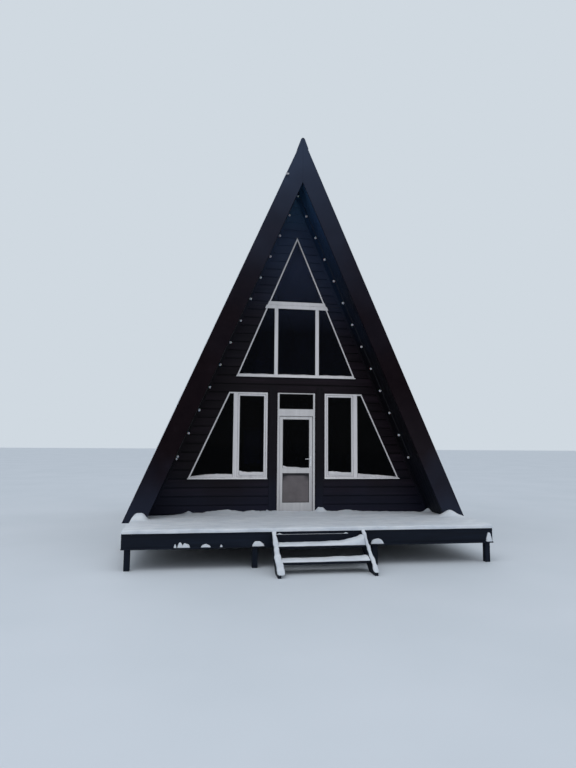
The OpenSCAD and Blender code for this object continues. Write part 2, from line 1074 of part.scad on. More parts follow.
ground_posts();
cross_beams();
floor_joists();
front_fascia();
side_fascias();
back_fascia();
deck_boards();
subfloor();
cabin_floor();
loft_floor();
stringers();
treads();
left_roof();
right_roof();
left_cladding();
right_cladding();
ridge_cap();
front_left_rake();
front_right_rake();
back_left_rake();
back_right_rake();
front_soffits();
back_soffits();
front_wall_left();
front_wall_right();
front_wall_upper();
back_wall();
wall_edge_trims();
door_side_trims();
low_window_frames();
low_window_glass();
upper_window_frame();
upper_window_glass();
back_window_frames();
back_window_glass();
door_frame();
transom_glass();
frame_hinges();
door_leaf();
leaf_upper_glass();
leaf_lower_glass();
leaf_hinges();
door_handle();
string_lights();
wire_anchor();
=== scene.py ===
"""Looks of the a-frame cabin, in metres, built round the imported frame.

X runs to the right along the front, Y from the stair to the back, Z up from the ground.
"""
import math

import bmesh
import bpy
import numpy as np
from mathutils import Matrix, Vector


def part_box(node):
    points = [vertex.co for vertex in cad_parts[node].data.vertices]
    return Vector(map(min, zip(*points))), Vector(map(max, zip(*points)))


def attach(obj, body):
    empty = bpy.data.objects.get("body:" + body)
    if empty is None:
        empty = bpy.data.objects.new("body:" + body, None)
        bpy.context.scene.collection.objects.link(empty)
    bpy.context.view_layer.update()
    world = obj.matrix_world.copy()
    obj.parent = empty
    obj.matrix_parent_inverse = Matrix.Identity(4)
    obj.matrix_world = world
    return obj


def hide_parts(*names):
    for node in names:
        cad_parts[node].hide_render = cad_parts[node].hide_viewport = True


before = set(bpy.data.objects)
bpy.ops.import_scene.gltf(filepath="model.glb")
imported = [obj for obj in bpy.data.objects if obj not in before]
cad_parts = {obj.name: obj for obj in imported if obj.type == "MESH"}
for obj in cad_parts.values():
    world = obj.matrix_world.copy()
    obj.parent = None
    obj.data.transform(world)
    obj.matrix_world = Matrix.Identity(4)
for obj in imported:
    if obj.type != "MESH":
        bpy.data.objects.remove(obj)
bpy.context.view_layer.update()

# Roof: a name that ends in _D is a depth below the outer roof face
RAKE_LOW, RAKE_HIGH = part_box("front_left_rake")
DECK_Z = RAKE_LOW.z
RIDGE_Z = RAKE_HIGH.z
SLOPE = -RAKE_LOW.x / (RIDGE_Z - DECK_Z)
LEAN = math.atan(SLOPE)
CLAD_D = 0.03
PAN_D = CLAD_D - 0.004
LINING_D = 0.28
SOFFIT_D = 0.385
RAKE_D = 0.4
TRIM_D = 0.44
MITRE_GAP = 0.0008

# Places along Y
RAKE_Y = RAKE_LOW.y
ROOF_Y0, ROOF_Y1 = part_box("left_roof")[0].y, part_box("left_roof")[1].y
END_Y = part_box("back_left_rake")[1].y
SHEATH_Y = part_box("front_wall_left")[0].y
BACK_SHEATH_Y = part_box("back_wall")[1].y
SIDING_T = 0.02
WALL_Y = SHEATH_Y - SIDING_T
BACK_Y = BACK_SHEATH_Y + SIDING_T

# Platform and stair
DECK_LOW, DECK_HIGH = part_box("deck_boards")
STEP_RUN = 0.3
STEP_RISE = DECK_Z / 3

# Windows and door unit: a seam runs between a sash and its frame, a lip is a gasket's lap or a shadow gap, a
# tenon is how far a bar runs into its neighbours, a hair keeps two faces out of one plane, and a name that
# ends in _SET is a step back from the front
OPENING_X = 0.045
FRAME_W, SASH_W, JAMB_W = 0.04, 0.048, 0.05
SEAM, LIP, EASE, TENON, HAIR = 0.004, 0.005, 0.003, 0.006, 0.0004
SASH_SET, GAP_SET, SILL_OUT = 0.010, 0.008, 0.035
SASH_BEAD = 0.35
FRAME_Y0, FRAME_Y1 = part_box("door_frame")[0].y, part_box("door_frame")[1].y
GLASS_Y0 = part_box("low_window_glass")[0].y
LOW_Z0, HEAD_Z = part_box("low_window_frames")[0].z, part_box("low_window_frames")[1].z
LOW_IN = 0.646
LOW_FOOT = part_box("low_window_frames")[1].x - OPENING_X
LOW_TOP = 1.5127
LOW_SLOPE = (LOW_FOOT - LOW_TOP) / (HEAD_Z - LOW_Z0)
MULLION_IN, MULLION_OUT = 1.266, 1.412
UP_Z0, UP_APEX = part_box("upper_window_frame")[0].z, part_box("upper_window_frame")[1].z
UP_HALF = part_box("upper_window_frame")[1].x - OPENING_X
UP_SLOPE = UP_HALF / (UP_APEX - UP_Z0)
UP_RAIL = 0.07
UP_RAIL_Z = UP_Z0 + UP_RAIL
UP_MULL_IN, UP_MULL_OUT = 0.426, 0.516
BAND_Z0, BAND_Z1 = 5.248, 5.422
BAND_SPLIT = 0.002  # half the gap between the band's two rails
BACK_WINDOWS = ((0.75, LOW_Z0, 2.70, 2), (0.45, 4.10, 5.10, 1))  # half width, foot, head, panes
DOOR_LOW, DOOR_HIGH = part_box("door_frame")
TRANSOM_LOW, TRANSOM_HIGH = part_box("transom_glass")
TRANSOM_BAR = 0.164
DOOR_FOOT = 0.03
LEAF_LOW, LEAF_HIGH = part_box("door_leaf")

# Boards: the walls' rows, and the pitches and gaps of the deck's, the subfloor's and the floor's boards
ROW, ROW_Z0 = 0.19, 0.672
DECK_W, SUBFLOOR_W, FLOOR_W = 0.149, 0.15, 0.125
DECK_GAP, SUBFLOOR_GAP, FLOOR_GAP = 0.005, 0.002, 0.0015


def half_at(z, depth):
    """Half width of the plane at a depth below the outer roof face, at height z."""
    return (RIDGE_Z - z) * SLOPE - depth / math.cos(LEAN)


def apex_at(depth):
    """Height where the plane at that depth meets the middle."""
    return RIDGE_Z - depth / math.sin(LEAN)


def slope_axes(side):
    """Directions up a roof slope and square out of it, side -1 left and 1 right."""
    up = [-side * math.sin(LEAN), 0, math.cos(LEAN)]
    return np.array([up, [side * math.cos(LEAN), 0, math.sin(LEAN)]])


# Shapes: a shape is an array of points and a list of face arrays, one for each number of corners

def joined(*shapes):
    """Several shapes as one: the points in one list, each shape's faces counted on from there."""
    starts = np.cumsum([0] + [len(points) for points, _ in shapes])
    faces = [face + start for (_, group), start in zip(shapes, starts) for face in group]
    return np.concatenate([points for points, _ in shapes]), faces


def bars(sections):
    """Closed bars P(bar, station, place round the profile): quads between stations, and caps at the ends."""
    count = sections.shape[:3]
    index = np.arange(np.prod(count)).reshape(count)
    near, far = index[:, :-1], index[:, 1:]
    sides = np.stack([near, far, np.roll(far, -1, 2), np.roll(near, -1, 2)], -1).reshape(-1, 4)
    caps = np.concatenate([index[:, 0], index[:, -1, ::-1]])
    return sections.reshape(-1, 3), [sides, caps]


def boxes(ranges):
    """Boxes from rows of x0, x1, y0, y1, z0, z1: each is its rectangle in Y and Z carried from x0 to x1."""
    r = np.asarray(ranges, float)
    x = np.repeat(r[:, [0, 1], None], 4, 2)
    y = np.repeat(r[:, None, [2, 3, 3, 2]], 2, 1)
    z = np.repeat(r[:, None, [4, 4, 5, 5]], 2, 1)
    return bars(np.stack([x, y, z], -1))


def carried(profile, axis, ends):
    """Profile of two columns carried straight along the third axis, 0 for X, 1 for Y or 2 for Z, between two
    ends; an end is one place, or a place for each row of the profile."""
    return bars(np.stack([np.insert(np.asarray(profile, float), axis, end, 1) for end in ends])[None])


def ring(outer, inner, profile):
    """A mitred ring in X and Z: at each corner the profile's share runs from the outer to the inner
    outline, and its second value is the place along Y."""
    outer, inner, profile = (np.asarray(a, float) for a in (outer, inner, profile))
    across = outer[:, None] + profile[None, :, :1] * (inner - outer)[:, None]
    along_y = np.broadcast_to(profile[:, 1], across.shape[:2])
    points = np.stack([across[..., 0], along_y, across[..., 1]], -1)
    index = np.arange(points[..., 0].size).reshape(points.shape[:2])
    far = np.roll(index, -1, 0)
    quads = np.stack([index, far, np.roll(far, -1, 1), np.roll(index, -1, 1)], -1).reshape(-1, 4)
    return points.reshape(-1, 3), [quads]


def unit(vectors):
    """Vectors scaled to length one."""
    return vectors / np.linalg.norm(vectors, axis=-1, keepdims=True)


def spokes(side, other, places):
    """Circle of unit spokes: the angle's cosine times one direction plus its sine times the other."""
    angle = np.linspace(0, 2 * np.pi, places, endpoint=False)[:, None]
    return np.cos(angle) * side + np.sin(angle) * other


def turned(profile, centre, axis, side, places):
    """Turned shape: rows of radius and distance along the axis, turned round it."""
    profile, axis, side = (np.asarray(a, float) for a in (profile, axis, side))
    radius, along = profile.T[:, :, None, None]
    circle = spokes(side, np.cross(axis, side), places)
    return bars((np.asarray(centre) + along * axis + radius * circle)[None])


def tube(path, radius, up, places):
    """Round tube along a path: circles square to the path's direction, which comes from its neighbours."""
    path = np.asarray(path, float)
    along = unit(np.gradient(path, axis=0))
    side = unit(np.cross(along, up))
    circle = spokes(side[:, None], np.cross(side, along)[:, None], places)
    return bars((path[:, None] + np.broadcast_to(radius, len(path))[:, None, None] * circle)[None])


def shell(top, base):
    """Closed skin over a base: both are grids P(u, v) of one size, joined along their four sides."""
    index = np.arange(top[..., 0].size).reshape(top.shape[:2])
    under = index + index.size

    def quads(n):
        """Faces between neighbours in a grid of point numbers."""
        return np.stack([n[:-1, :-1], n[1:, :-1], n[1:, 1:], n[:-1, 1:]], -1).reshape(-1, 4)

    def rim(n):
        """Point numbers once round the four sides of their grid."""
        return np.concatenate([n[0, :-1], n[:-1, -1], n[-1, :0:-1], n[:0:-1, 0]])

    upper, lower = rim(index), rim(under)
    walls = np.stack([upper, np.roll(upper, -1), np.roll(lower, -1), lower], -1)
    points = np.concatenate([top.reshape(-1, 3), base.reshape(-1, 3)])
    return points, [quads(index), quads(under)[:, ::-1], walls]


def slope_bars(side, profile):
    """Profile of rows (y, depth) carried up a roof slope from deck height to the middle: each row ends at
    its own plane's apex, and x is the plane's half width there, or the mitre gap at least."""
    y, depth = np.asarray(profile, float).T
    z = np.stack([np.full_like(depth, DECK_Z), apex_at(depth)])
    x = side * np.maximum(half_at(z, depth), MITRE_GAP)
    return bars(np.stack([x, np.broadcast_to(y, x.shape), z], -1)[None])


def ripple(x, y, size, seed):
    """Smooth unevenness between about -1 and 1: the scaled mean of fourteen waves near the given length,
    with directions and phases drawn from the seed."""
    waves = 14
    draw = np.random.default_rng(seed)
    turn, phase = draw.uniform(0, 2 * np.pi, (2, waves))
    pace = 2 * np.pi / (size * draw.uniform(0.6, 1.8, waves))
    wave = np.sin(pace * (np.cos(turn) * x[..., None] + np.sin(turn) * y[..., None]) + phase)
    return wave.mean(-1) * 2.2


# Pieces

def add(name, shape, finish, slot=None, **how):
    """Makes a piece of a shape's points and faces; how it is finished is passed on."""
    points, faces = shape
    corners = np.concatenate([np.full(len(f), f.shape[1]) for f in faces])
    loops = np.concatenate([f.ravel() for f in faces]).astype(np.int32)
    mesh = bpy.data.meshes.new(name)
    mesh.vertices.add(len(points))
    mesh.vertices.foreach_set("co", points.astype(np.float32).ravel())
    mesh.loops.add(len(loops))
    mesh.loops.foreach_set("vertex_index", loops)
    mesh.polygons.add(len(corners))
    mesh.polygons.foreach_set("loop_start", (np.cumsum(corners) - corners).astype(np.int32))
    mesh.update(calc_edges=True)
    finished(name, mesh, finish, slot, **how)


def new_object(name, data):
    """Object of a mesh, a camera or a lamp, put in the scene."""
    obj = bpy.data.objects.new(name, data)
    bpy.context.collection.objects.link(obj)
    return obj


def finished(name, mesh, finish, slot, body="cabin", node=None, ease=0.0, smooth=None, merge=False):
    """Merges corners and flat faces if asked, turns the faces outwards, smooths them up to an angle, eases
    the edges and puts the piece on its body, in place of a CAD node where one is given."""
    work = bmesh.new()
    work.from_mesh(mesh)
    if merge:
        bmesh.ops.remove_doubles(work, verts=work.verts, dist=1e-5)
        bmesh.ops.dissolve_limit(work, angle_limit=math.radians(1), verts=work.verts, edges=work.edges)
    bmesh.ops.recalc_face_normals(work, faces=work.faces)
    work.to_mesh(mesh)
    work.free()
    mesh.polygons.foreach_set("use_smooth", np.full(len(mesh.polygons), smooth is not None))
    if smooth is not None:
        mesh.set_sharp_from_angle(angle=math.radians(smooth))
    obj = new_object(name, mesh)
    mesh.materials.append(finish)
    if ease:
        bevel = obj.modifiers.new("eased_edges", "BEVEL")
        bevel.width, bevel.segments, bevel.limit_method = ease, 2, "ANGLE"
        bevel.angle_limit = math.radians(35)
    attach(obj, body)
    if node:
        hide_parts(node)


def eased(node, finish, slot, ease):
    """A CAD node's own shape with its edges eased, in place of the node."""
    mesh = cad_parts[node].data.copy()
    mesh.materials.clear()
    finished(node + "_eased", mesh, finish, slot, node=node, ease=ease, merge=True)


def dress(finish, *nodes):
    """Gives a finish to CAD nodes that are shown as they are."""
    for node in nodes:
        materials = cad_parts[node].data.materials
        materials.clear()
        materials.append(finish)


# Finishes

class Graph:
    """Node graph of one finish, ending in a Principled shader; patterns follow the object's own place."""

    def __init__(self, name, **sockets):
        """New material whose shader has the given sockets set; an underscore stands for a space."""
        self.material = bpy.data.materials.new(name)
        self.material.use_nodes = True
        self.nodes, self.links = self.material.node_tree.nodes, self.material.node_tree.links
        self.shader = self.nodes["Principled BSDF"]
        for socket, value in sockets.items():
            self.put(self.shader, socket.replace("_", " "), value)
        self.place = self.made("TexCoord").outputs["Object"]

    def put(self, node, socket, value):
        """Sets a socket to a value, or links an output to it."""
        if isinstance(value, bpy.types.NodeSocket):
            self.links.new(value, node.inputs[socket])
        else:
            node.inputs[socket].default_value = value

    def made(self, kind, **sockets):
        """New node of a kind with its sockets set or linked; an underscore stands for a space."""
        node = self.nodes.new("ShaderNode" + kind)
        for socket, value in sockets.items():
            self.put(node, socket.replace("_", " "), value)
        return node

    def noise(self, scale, detail, rough, distortion=0.0):
        """Cloud of noise from 0 to 1, of one scale or of one for each axis."""
        place = self.place
        if isinstance(scale, tuple):
            place, scale = self.made("Mapping", Vector=place, Scale=scale).outputs["Vector"], 1.0
        node = self.made("TexNoise", Vector=place, Scale=scale, Detail=detail, Roughness=rough,
                         Distortion=distortion)
        return node.outputs["Fac"]

    def maths(self, operation, a, b=0.0, clamp=False):
        """Two values put together by a sum, a product or the like, kept from 0 to 1 if clamped."""
        node = self.made("Math")
        node.operation, node.use_clamp = operation, clamp
        self.put(node, 0, a)
        self.put(node, 1, b)
        return node.outputs[0]

    def axis(self, name):
        """Place along X, Y or Z."""
        return self.made("SeparateXYZ", Vector=self.place).outputs[name]

    def spread(self, value, low, high, to_low, to_high):
        """Value from low to high carried over to to_low and to_high."""
        return self.made("MapRange", Value=value, From_Min=low, From_Max=high, To_Min=to_low,
                         To_Max=to_high).outputs[0]

    def ramp(self, value, *stops):
        """Colours in sRGB bytes at their places from 0 to 1."""
        node = self.made("ValToRGB", Fac=value)
        elements = node.color_ramp.elements
        while len(elements) < len(stops):
            elements.new(0.5)
        for element, (position, colour) in zip(elements, stops):
            element.position, element.color = position, srgb(*colour)
        return node.outputs["Color"]

    def mixed(self, share, a, b, blend="MIX"):
        """Colour a with a share of colour b."""
        node = self.made("Mix")
        node.data_type, node.blend_type = "RGBA", blend
        self.put(node, 0, share)
        self.put(node, 6, a)
        self.put(node, 7, b)
        return node.outputs[2]

    def bump(self, height, distance, strength=1.0, under=None):
        """Normal of a height times a distance, over another normal where one is given."""
        node = self.made("Bump", Height=height, Distance=distance, Strength=strength)
        if under is not None:
            self.put(node, "Normal", under)
        return node.outputs["Normal"]

    def done(self, colour, rough, normal=None):
        """The material, with its colour, roughness and normal on the shader."""
        self.put(self.shader, "Base Color", colour)
        self.put(self.shader, "Roughness", rough)
        if normal is not None:
            self.put(self.shader, "Normal", normal)
        return self.material


def srgb(r, g, b):
    """Linear colour of sRGB bytes: each share c becomes ((c + 0.055) / 1.055) to the power 2.4, or c / 12.92
    where the byte is 10 or less."""
    return (*[((c / 255 + 0.055) / 1.055) ** 2.4 if c > 10 else c / 255 / 12.92 for c in (r, g, b)], 1.0)


def board_count(g, axis, pitch, start):
    """Place along an axis counted in boards from the start of the first row."""
    return g.maths("DIVIDE", g.maths("SUBTRACT", g.axis(axis), start), pitch)


def board_tone(g, axis, pitch, start, amount):
    """Brightness of each board, a random draw for the number of its row."""
    node = g.made("TexWhiteNoise")
    node.noise_dimensions = "1D"
    g.put(node, "W", g.maths("FLOOR", board_count(g, axis, pitch, start)))
    return g.spread(node.outputs["Value"], 0, 1, 1 - amount, 1 + amount)


def painted_joint_shade_and_highlight(g, axis, pitch, start):
    """Brightness across a board: painted shade as a dark line in the rebate at its head, and a painted
    highlight on its foot edge.
    """
    share = g.maths("FRACT", board_count(g, axis, pitch, start))
    head = g.spread(share, 0.885, 0.905, 1.0, 0.2)
    return g.maths("MULTIPLY", head, g.spread(share, 0.01, 0.035, 1.35, 1.0))


# Heights between which the painted cool sky light, the painted cool light near the deck's snow, the painted
# blue shade near that snow, the painted pale light at the apex, the dust and the grime grow
PAINTED_SKY_Z0, PAINTED_SKY_Z1 = 3.6, 8.6
PAINTED_SNOW_LIGHT_Z0, PAINTED_SNOW_LIGHT_Z1 = 0.6, 2.15
PAINTED_SNOW_SHADE_Z0, PAINTED_SNOW_SHADE_Z1 = 0.9, 1.45
PAINTED_APEX_Z0, PAINTED_APEX_Z1 = 7.1, 8.1
DUST_Z0, DUST_Z1 = 2.1, 3.4
GRIME_Z0, GRIME_Z1 = 0.8, 1.5
# Navy of the painted blue shade near the deck's snow
PAINTED_SNOW_SHADE_TINT = srgb(20, 26, 46)
# Pale tint of the painted light at the apex
PAINTED_APEX_TINT = srgb(112, 173, 206)
DUST_TINT = srgb(50, 48, 54)
GRIME_TINT = srgb(150, 150, 156)


def shifted_height(g, cloud, reach):
    """Height shifted up or down by a cloud of noise, by the reach at most."""
    return g.maths("ADD", g.axis("Z"), g.spread(cloud, 0.3, 0.7, -reach, reach))


def painted_sky_light(g, colour, painted_sky_tint, patches, painted_snow_light_share):
    """Colour with painted cool sky light, a bluish bloom that stands for the sky's light and its reflection:
    its share is the square of the way up between its two heights, shifted by the patches, and near the
    deck's snow it grows to the foot's share as painted cool light from the snow."""
    height = shifted_height(g, patches, 0.5)
    way = g.spread(height, PAINTED_SKY_Z0, PAINTED_SKY_Z1, 0, 1)
    foot = g.spread(height, PAINTED_SNOW_LIGHT_Z1, PAINTED_SNOW_LIGHT_Z0, 0, painted_snow_light_share)
    return g.mixed(g.maths("ADD", g.maths("MULTIPLY", way, way), foot, True), colour, srgb(*painted_sky_tint))


def timber(name, tones, along, rough, grain, rows=None, gloss=0.12, painted_sky_tint=None, joints=None, painted_snow_shade=0.0,
           painted_apex_light=0.0):
    """Timber with its grain along an axis: long streaks, finer fibres, slow blotches and a brushed bump. It
    may have a tone for each board, painted shade in the rebate at each joint with a painted highlight on
    each board's foot edge, painted blue shade near the deck's snow, and painted cool sky light and painted
    pale light that grow towards the ridge."""
    g = Graph(name, Specular_IOR_Level=gloss)
    deep, mid, light = tones

    def grained(length, width):
        """Noise scale for each axis: one along the grain and another across it."""
        return tuple(length if axis == along else width for axis in "XYZ")

    streaks = g.noise(grained(0.5, 9.0), 5, 0.6, 0.6)
    fibres = g.noise(grained(1.6, 38.0), 6, 0.65, 0.3)
    blotches = g.noise(0.9, 3, 0.5)
    tone = g.maths("ADD", g.maths("MULTIPLY", streaks, 0.55), g.maths("MULTIPLY", fibres, 0.45))
    colour = g.ramp(tone, (0.3, deep), (0.5, mid), (0.72, light))
    colour = g.mixed(g.spread(blotches, 0.35, 0.7, 0.0, 0.5), colour, srgb(*deep))
    if rows:
        colour = g.mixed(1.0, colour, board_tone(g, *rows), "MULTIPLY")
    # Painted shade in each joint's rebate and a painted highlight on each board's foot edge
    if joints:
        colour = g.mixed(1.0, colour, painted_joint_shade_and_highlight(g, *joints), "MULTIPLY")
    # Painted cool sky light towards the ridge and near the deck's snow
    if painted_sky_tint:
        colour = painted_sky_light(g, colour, painted_sky_tint, blotches, 0.05)
    # Painted pale light at the apex, where the corner's shade falls
    if painted_apex_light:
        colour = g.mixed(g.spread(g.axis("Z"), PAINTED_APEX_Z0, PAINTED_APEX_Z1, 0, painted_apex_light), colour, PAINTED_APEX_TINT)
    # Painted blue shade near the deck's snow
    if painted_snow_shade:
        height = shifted_height(g, blotches, 0.15)
        colour = g.mixed(g.spread(height, PAINTED_SNOW_SHADE_Z1, PAINTED_SNOW_SHADE_Z0, 0, painted_snow_shade), colour, PAINTED_SNOW_SHADE_TINT)
    return g.done(colour, g.spread(fibres, 0.3, 0.7, rough - 0.1, rough + 0.12), g.bump(tone, grain))


def roof_steel():
    """Coated roof sheet: dark brown, glossier than the boards, with rain-washed streaks down the slope, and
    a painted highlight of cool sky light towards the ridge and near the deck's snow.
    """
    g = Graph("roof_steel", Specular_IOR_Level=0.42)
    skin = g.noise(260.0, 2, 0.5)
    washed = g.noise((1.2, 9.0, 1.2), 5, 0.6)
    colour = g.ramp(washed, (0.3, (25, 19, 23)), (0.55, (31, 25, 29)), (0.8, (42, 37, 42)))
    # Painted cool sky light towards the ridge and near the deck's snow
    colour = painted_sky_light(g, colour, (58, 65, 80), washed, 0.2)
    return g.done(colour, g.spread(washed, 0.3, 0.75, 0.3, 0.5), g.bump(skin, 0.0002))


def coated_sheet(name, foot_dust):
    """Dark brown coated steel: a fine orange-peel skin, slow oil-canning, dusty patches, a painted highlight
    of cool sky light towards the ridge and near the deck's snow, and near the foot a share of brown dust."""
    g = Graph(name, Specular_IOR_Level=0.05)
    skin = g.noise(260.0, 2, 0.5)
    waves = g.noise((0.98, 3.5, 0.98), 2, 0.4)
    dust = g.noise(3.0, 6, 0.7)
    brown = g.ramp(dust, (0.35, (12, 4, 9)), (0.55, (17, 8, 13)), (0.8, (24, 16, 22)))
    brown = g.mixed(g.spread(g.axis("Z"), DUST_Z1, DUST_Z0, 0, foot_dust), brown, DUST_TINT)
    # Painted highlight of cool sky light towards the ridge and near the deck's snow
    colour = painted_sky_light(g, brown, (47, 56, 74), waves, 0.5)
    normal = g.bump(skin, 0.0002, 1.0, g.bump(waves, 0.006))
    return g.done(colour, g.spread(dust, 0.3, 0.75, 0.38, 0.58), normal)


def white_plastic(name, dirty, worn, clean):
    """White window plastic: faint streaks of dirt running down, a grimy foot and a barely uneven skin."""
    g = Graph(name)
    streaks = g.noise((14.0, 14.0, 1.2), 4, 0.6)
    skin = g.noise(120.0, 2, 0.5)
    grime = g.spread(shifted_height(g, streaks, 0.3), GRIME_Z1, GRIME_Z0, 0, 0.3)
    colour = g.mixed(grime, g.ramp(streaks, (0.3, dirty), (0.6, worn), (0.8, clean)), GRIME_TINT)
    return g.done(colour, g.spread(streaks, 0.3, 0.8, 0.38, 0.28), g.bump(skin, 0.0001))


def window_glass(name, clear, dark, light, painted_light_pane=None):
    """Dark sealed glass: faint smears and a slow wave that bends what it mirrors. Glass with a painted glare
    also pales from a low height to a high one."""
    g = Graph(name, Transmission_Weight=clear, IOR=1.12)
    wave = g.noise(1.3, 1, 0.4)
    smear = g.noise((5.0, 5.0, 1.4), 5, 0.6)
    colour = g.ramp(smear, (0.3, dark), (0.7, light))
    # Painted glare that pales the glass upwards
    if painted_light_pane:
        low, high, pale = painted_light_pane
        colour = g.mixed(g.spread(g.axis("Z"), low, high, 0, 1), colour, srgb(*pale))
    return g.done(colour, g.spread(smear, 0.4, 0.8, 0.015, 0.07), g.bump(wave, 0.004))


def taupe_pane_with_painted_shadow():
    """Lower pane of the door: taupe, with a dark margin of painted rail shadow at the top and corners."""
    g = Graph("taupe_pane_painted_shadow", Specular_IOR_Level=0.3)
    low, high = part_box("leaf_lower_glass")
    top = g.spread(g.axis("Z"), high.z - 0.07, high.z - 0.035, 0, 1)
    reach = g.maths("ABSOLUTE", g.maths("SUBTRACT", g.axis("X"), (low.x + high.x) / 2))
    corner = g.spread(reach, 0.17, 0.28, 0, 0.9)
    near_top = g.spread(g.axis("Z"), high.z - 0.19, high.z - 0.06, 0, 1)
    cloud = g.noise(7.0, 5, 0.6)
    # Mask of the painted shadow of the middle rail, dark at the top and the corners
    clear = g.maths("ADD", top, g.maths("MULTIPLY", corner, near_top), True)
    clear = g.maths("MULTIPLY", clear, g.spread(cloud, 0.3, 0.6, 0.88, 1.0), True)
    taupe_tone = g.ramp(cloud, (0.3, (92, 86, 88)), (0.7, (104, 98, 100)))
    colour = g.mixed(clear, taupe_tone, srgb(17, 17, 23))
    return g.done(colour, g.spread(cloud, 0.3, 0.7, 0.3, 0.5), g.bump(cloud, 0.0005))


def clouded(name, cloud, stops, sheen, dent=0.0, **sockets):
    """Finish with one cloud of noise, given by its scale, detail and roughness: it sets the colour by the
    stops, the shader's roughness from the sheen's first value to its second, and dents of a depth."""
    g = Graph(name, **sockets)
    cloud = g.noise(*cloud)
    normal = g.bump(cloud, dent) if dent else None
    return g.done(g.ramp(cloud, *stops), g.spread(cloud, 0.3, 0.7, *sheen), normal)


def snow_finish(name, shade, mid, light):
    """Settled snow: cool shade in the hollows, wind crust and fine grains."""
    g = Graph(name, Subsurface_Weight=0.12, Subsurface_Scale=0.03, Subsurface_Radius=(0.6, 0.8, 1.0))
    crust = g.noise((3.0, 7.0, 5.0), 5, 0.6)
    grains = g.noise(420.0, 3, 0.7)
    lumps = g.noise(24.0, 5, 0.6)
    colour = g.ramp(crust, (0.28, shade), (0.55, mid), (0.8, light))
    normal = g.bump(lumps, 0.006, 0.7, g.bump(grains, 0.0012))
    return g.done(colour, g.spread(grains, 0.3, 0.7, 0.55, 0.8), normal)


SIDING_ROWS = ("Z", ROW, ROW_Z0)
# Painted light on the walls: cool sky light towards the ridge, blue shade near the deck's snow, pale light
# at the apex
WALL_PAINTED_LIGHT = {"painted_sky_tint": (60, 80, 113), "painted_snow_shade": 0.35, "painted_apex_light": 0.27}
FASCIA_TONES = ((11, 15, 24), (17, 24, 37), (28, 36, 50))
stained = timber("dark_stained_boards", ((11, 6, 10), (20, 12, 19), (37, 27, 36)), "X", 0.46, 0.0012,
                 (*SIDING_ROWS, 0.22), joints=SIDING_ROWS, **WALL_PAINTED_LIGHT)
stained_upright = timber("dark_stained_trim", ((9, 7, 10), (16, 12, 17), (29, 24, 31)), "Z", 0.5, 0.0008,
                         **WALL_PAINTED_LIGHT)
# The soffit gets painted cool sky light towards the ridge and painted pale light at the apex
soffit_stain = timber("dark_soffit_boards", ((8, 7, 11), (12, 11, 17), (20, 19, 28)), "Z", 0.55, 0.0006,
                      gloss=0.1, painted_sky_tint=(52, 80, 118), painted_apex_light=0.12)
fascia_stain = timber("dark_fascia_boards", FASCIA_TONES, "X", 0.55, 0.0009)
fascia_along = timber("dark_side_boards", FASCIA_TONES, "Y", 0.55, 0.0009)
post_stain = timber("dark_posts", ((10, 15, 24), (16, 23, 36), (27, 35, 48)), "Z", 0.6, 0.001)
floor_wood = timber("oiled_floor", ((104, 76, 50), (134, 100, 68), (158, 124, 88)), "Y", 0.4, 0.0004,
                    ("X", FLOOR_W, 0.0, 0.12), 0.4)
lining_wood = timber("pine_lining", ((150, 116, 80), (178, 144, 104), (196, 166, 126)), "Y", 0.5, 0.0005,
                     ("Z", 0.12, 0.0, 0.08), 0.3)
sheet = coated_sheet("coated_sheet", 0.0)
dusty_sheet = coated_sheet("dusty_sheet", 0.18)
roof_sheet = roof_steel()
plastic = white_plastic("white_frame_plastic", (209, 206, 208), (219, 216, 218), (225, 222, 224))
door_plastic = white_plastic("door_plastic", (190, 188, 189), (200, 198, 199), (208, 206, 207))
glass = window_glass("dark_glass", 0.99, (30, 34, 48), (44, 48, 64))
# Loft glass with a painted glare that grows upwards
loft_glass = window_glass("loft_glass_painted_glare", 0.86, (12, 17, 34), (26, 31, 50), (4.7, 6.3, (98, 112, 150)))
# Door's lower pane: taupe, with a painted shadow under the middle rail
painted_light_pane = taupe_pane_with_painted_shadow()
gasket = clouded("gasket_rubber", (90.0, 3, 0.6), ((0.3, (28, 28, 31)), (0.7, (44, 44, 48))), (0.55, 0.75))
enamel = clouded("white_enamel", (35.0, 5, 0.6),
                 ((0.3, (216, 216, 218)), (0.62, (226, 226, 228)), (0.8, (200, 200, 204))),
                 (0.2, 0.34), 0.0002)
zinc = clouded("dull_zinc", (60.0, 5, 0.65), ((0.3, (88, 90, 94)), (0.7, (142, 144, 148))),
               (0.34, 0.55), Metallic=0.85)
porcelain = clouded("glazed_porcelain", (70.0, 4, 0.6), ((0.3, (150, 150, 154)), (0.7, (176, 176, 180))),
                    (0.25, 0.45), 0.0001)
milky = clouded("milky_bulb", (50.0, 3, 0.5), ((0.3, (182, 182, 188)), (0.7, (198, 198, 203))),
                (0.25, 0.4), Subsurface_Weight=0.2, Subsurface_Scale=0.01)
snow = snow_finish("settled_snow", (184, 191, 201), (201, 207, 215), (213, 217, 223))
# A warmer, less blue copy of the settled snow for the snow in the windows and on the door: a lit copy,
# painted light
painted_lit_snow = snow_finish("painted_lit_snow", (190, 188, 192), (205, 203, 206), (214, 212, 215))


# Platform and stair

TREAD_BOARDS = ((0, 0.142), (0.148, 0.29))  # front and back of each board
TREAD_T = 0.045


def planks(low, high, axis, width, gap):
    """Boards side by side along an axis, 0 for X or 1 for Y, across a box: its length is shared into equal
    pitches near the given width, and each board is a gap narrower."""
    count = round((high[axis] - low[axis]) / width)
    pitch = (high[axis] - low[axis]) / count
    rows = np.tile(np.array([low, high], float).T.ravel(), (count, 1))
    rows[:, 2 * axis] = low[axis] + np.arange(count) * pitch
    rows[:, 2 * axis + 1] = rows[:, 2 * axis] + pitch - gap
    return boxes(rows)


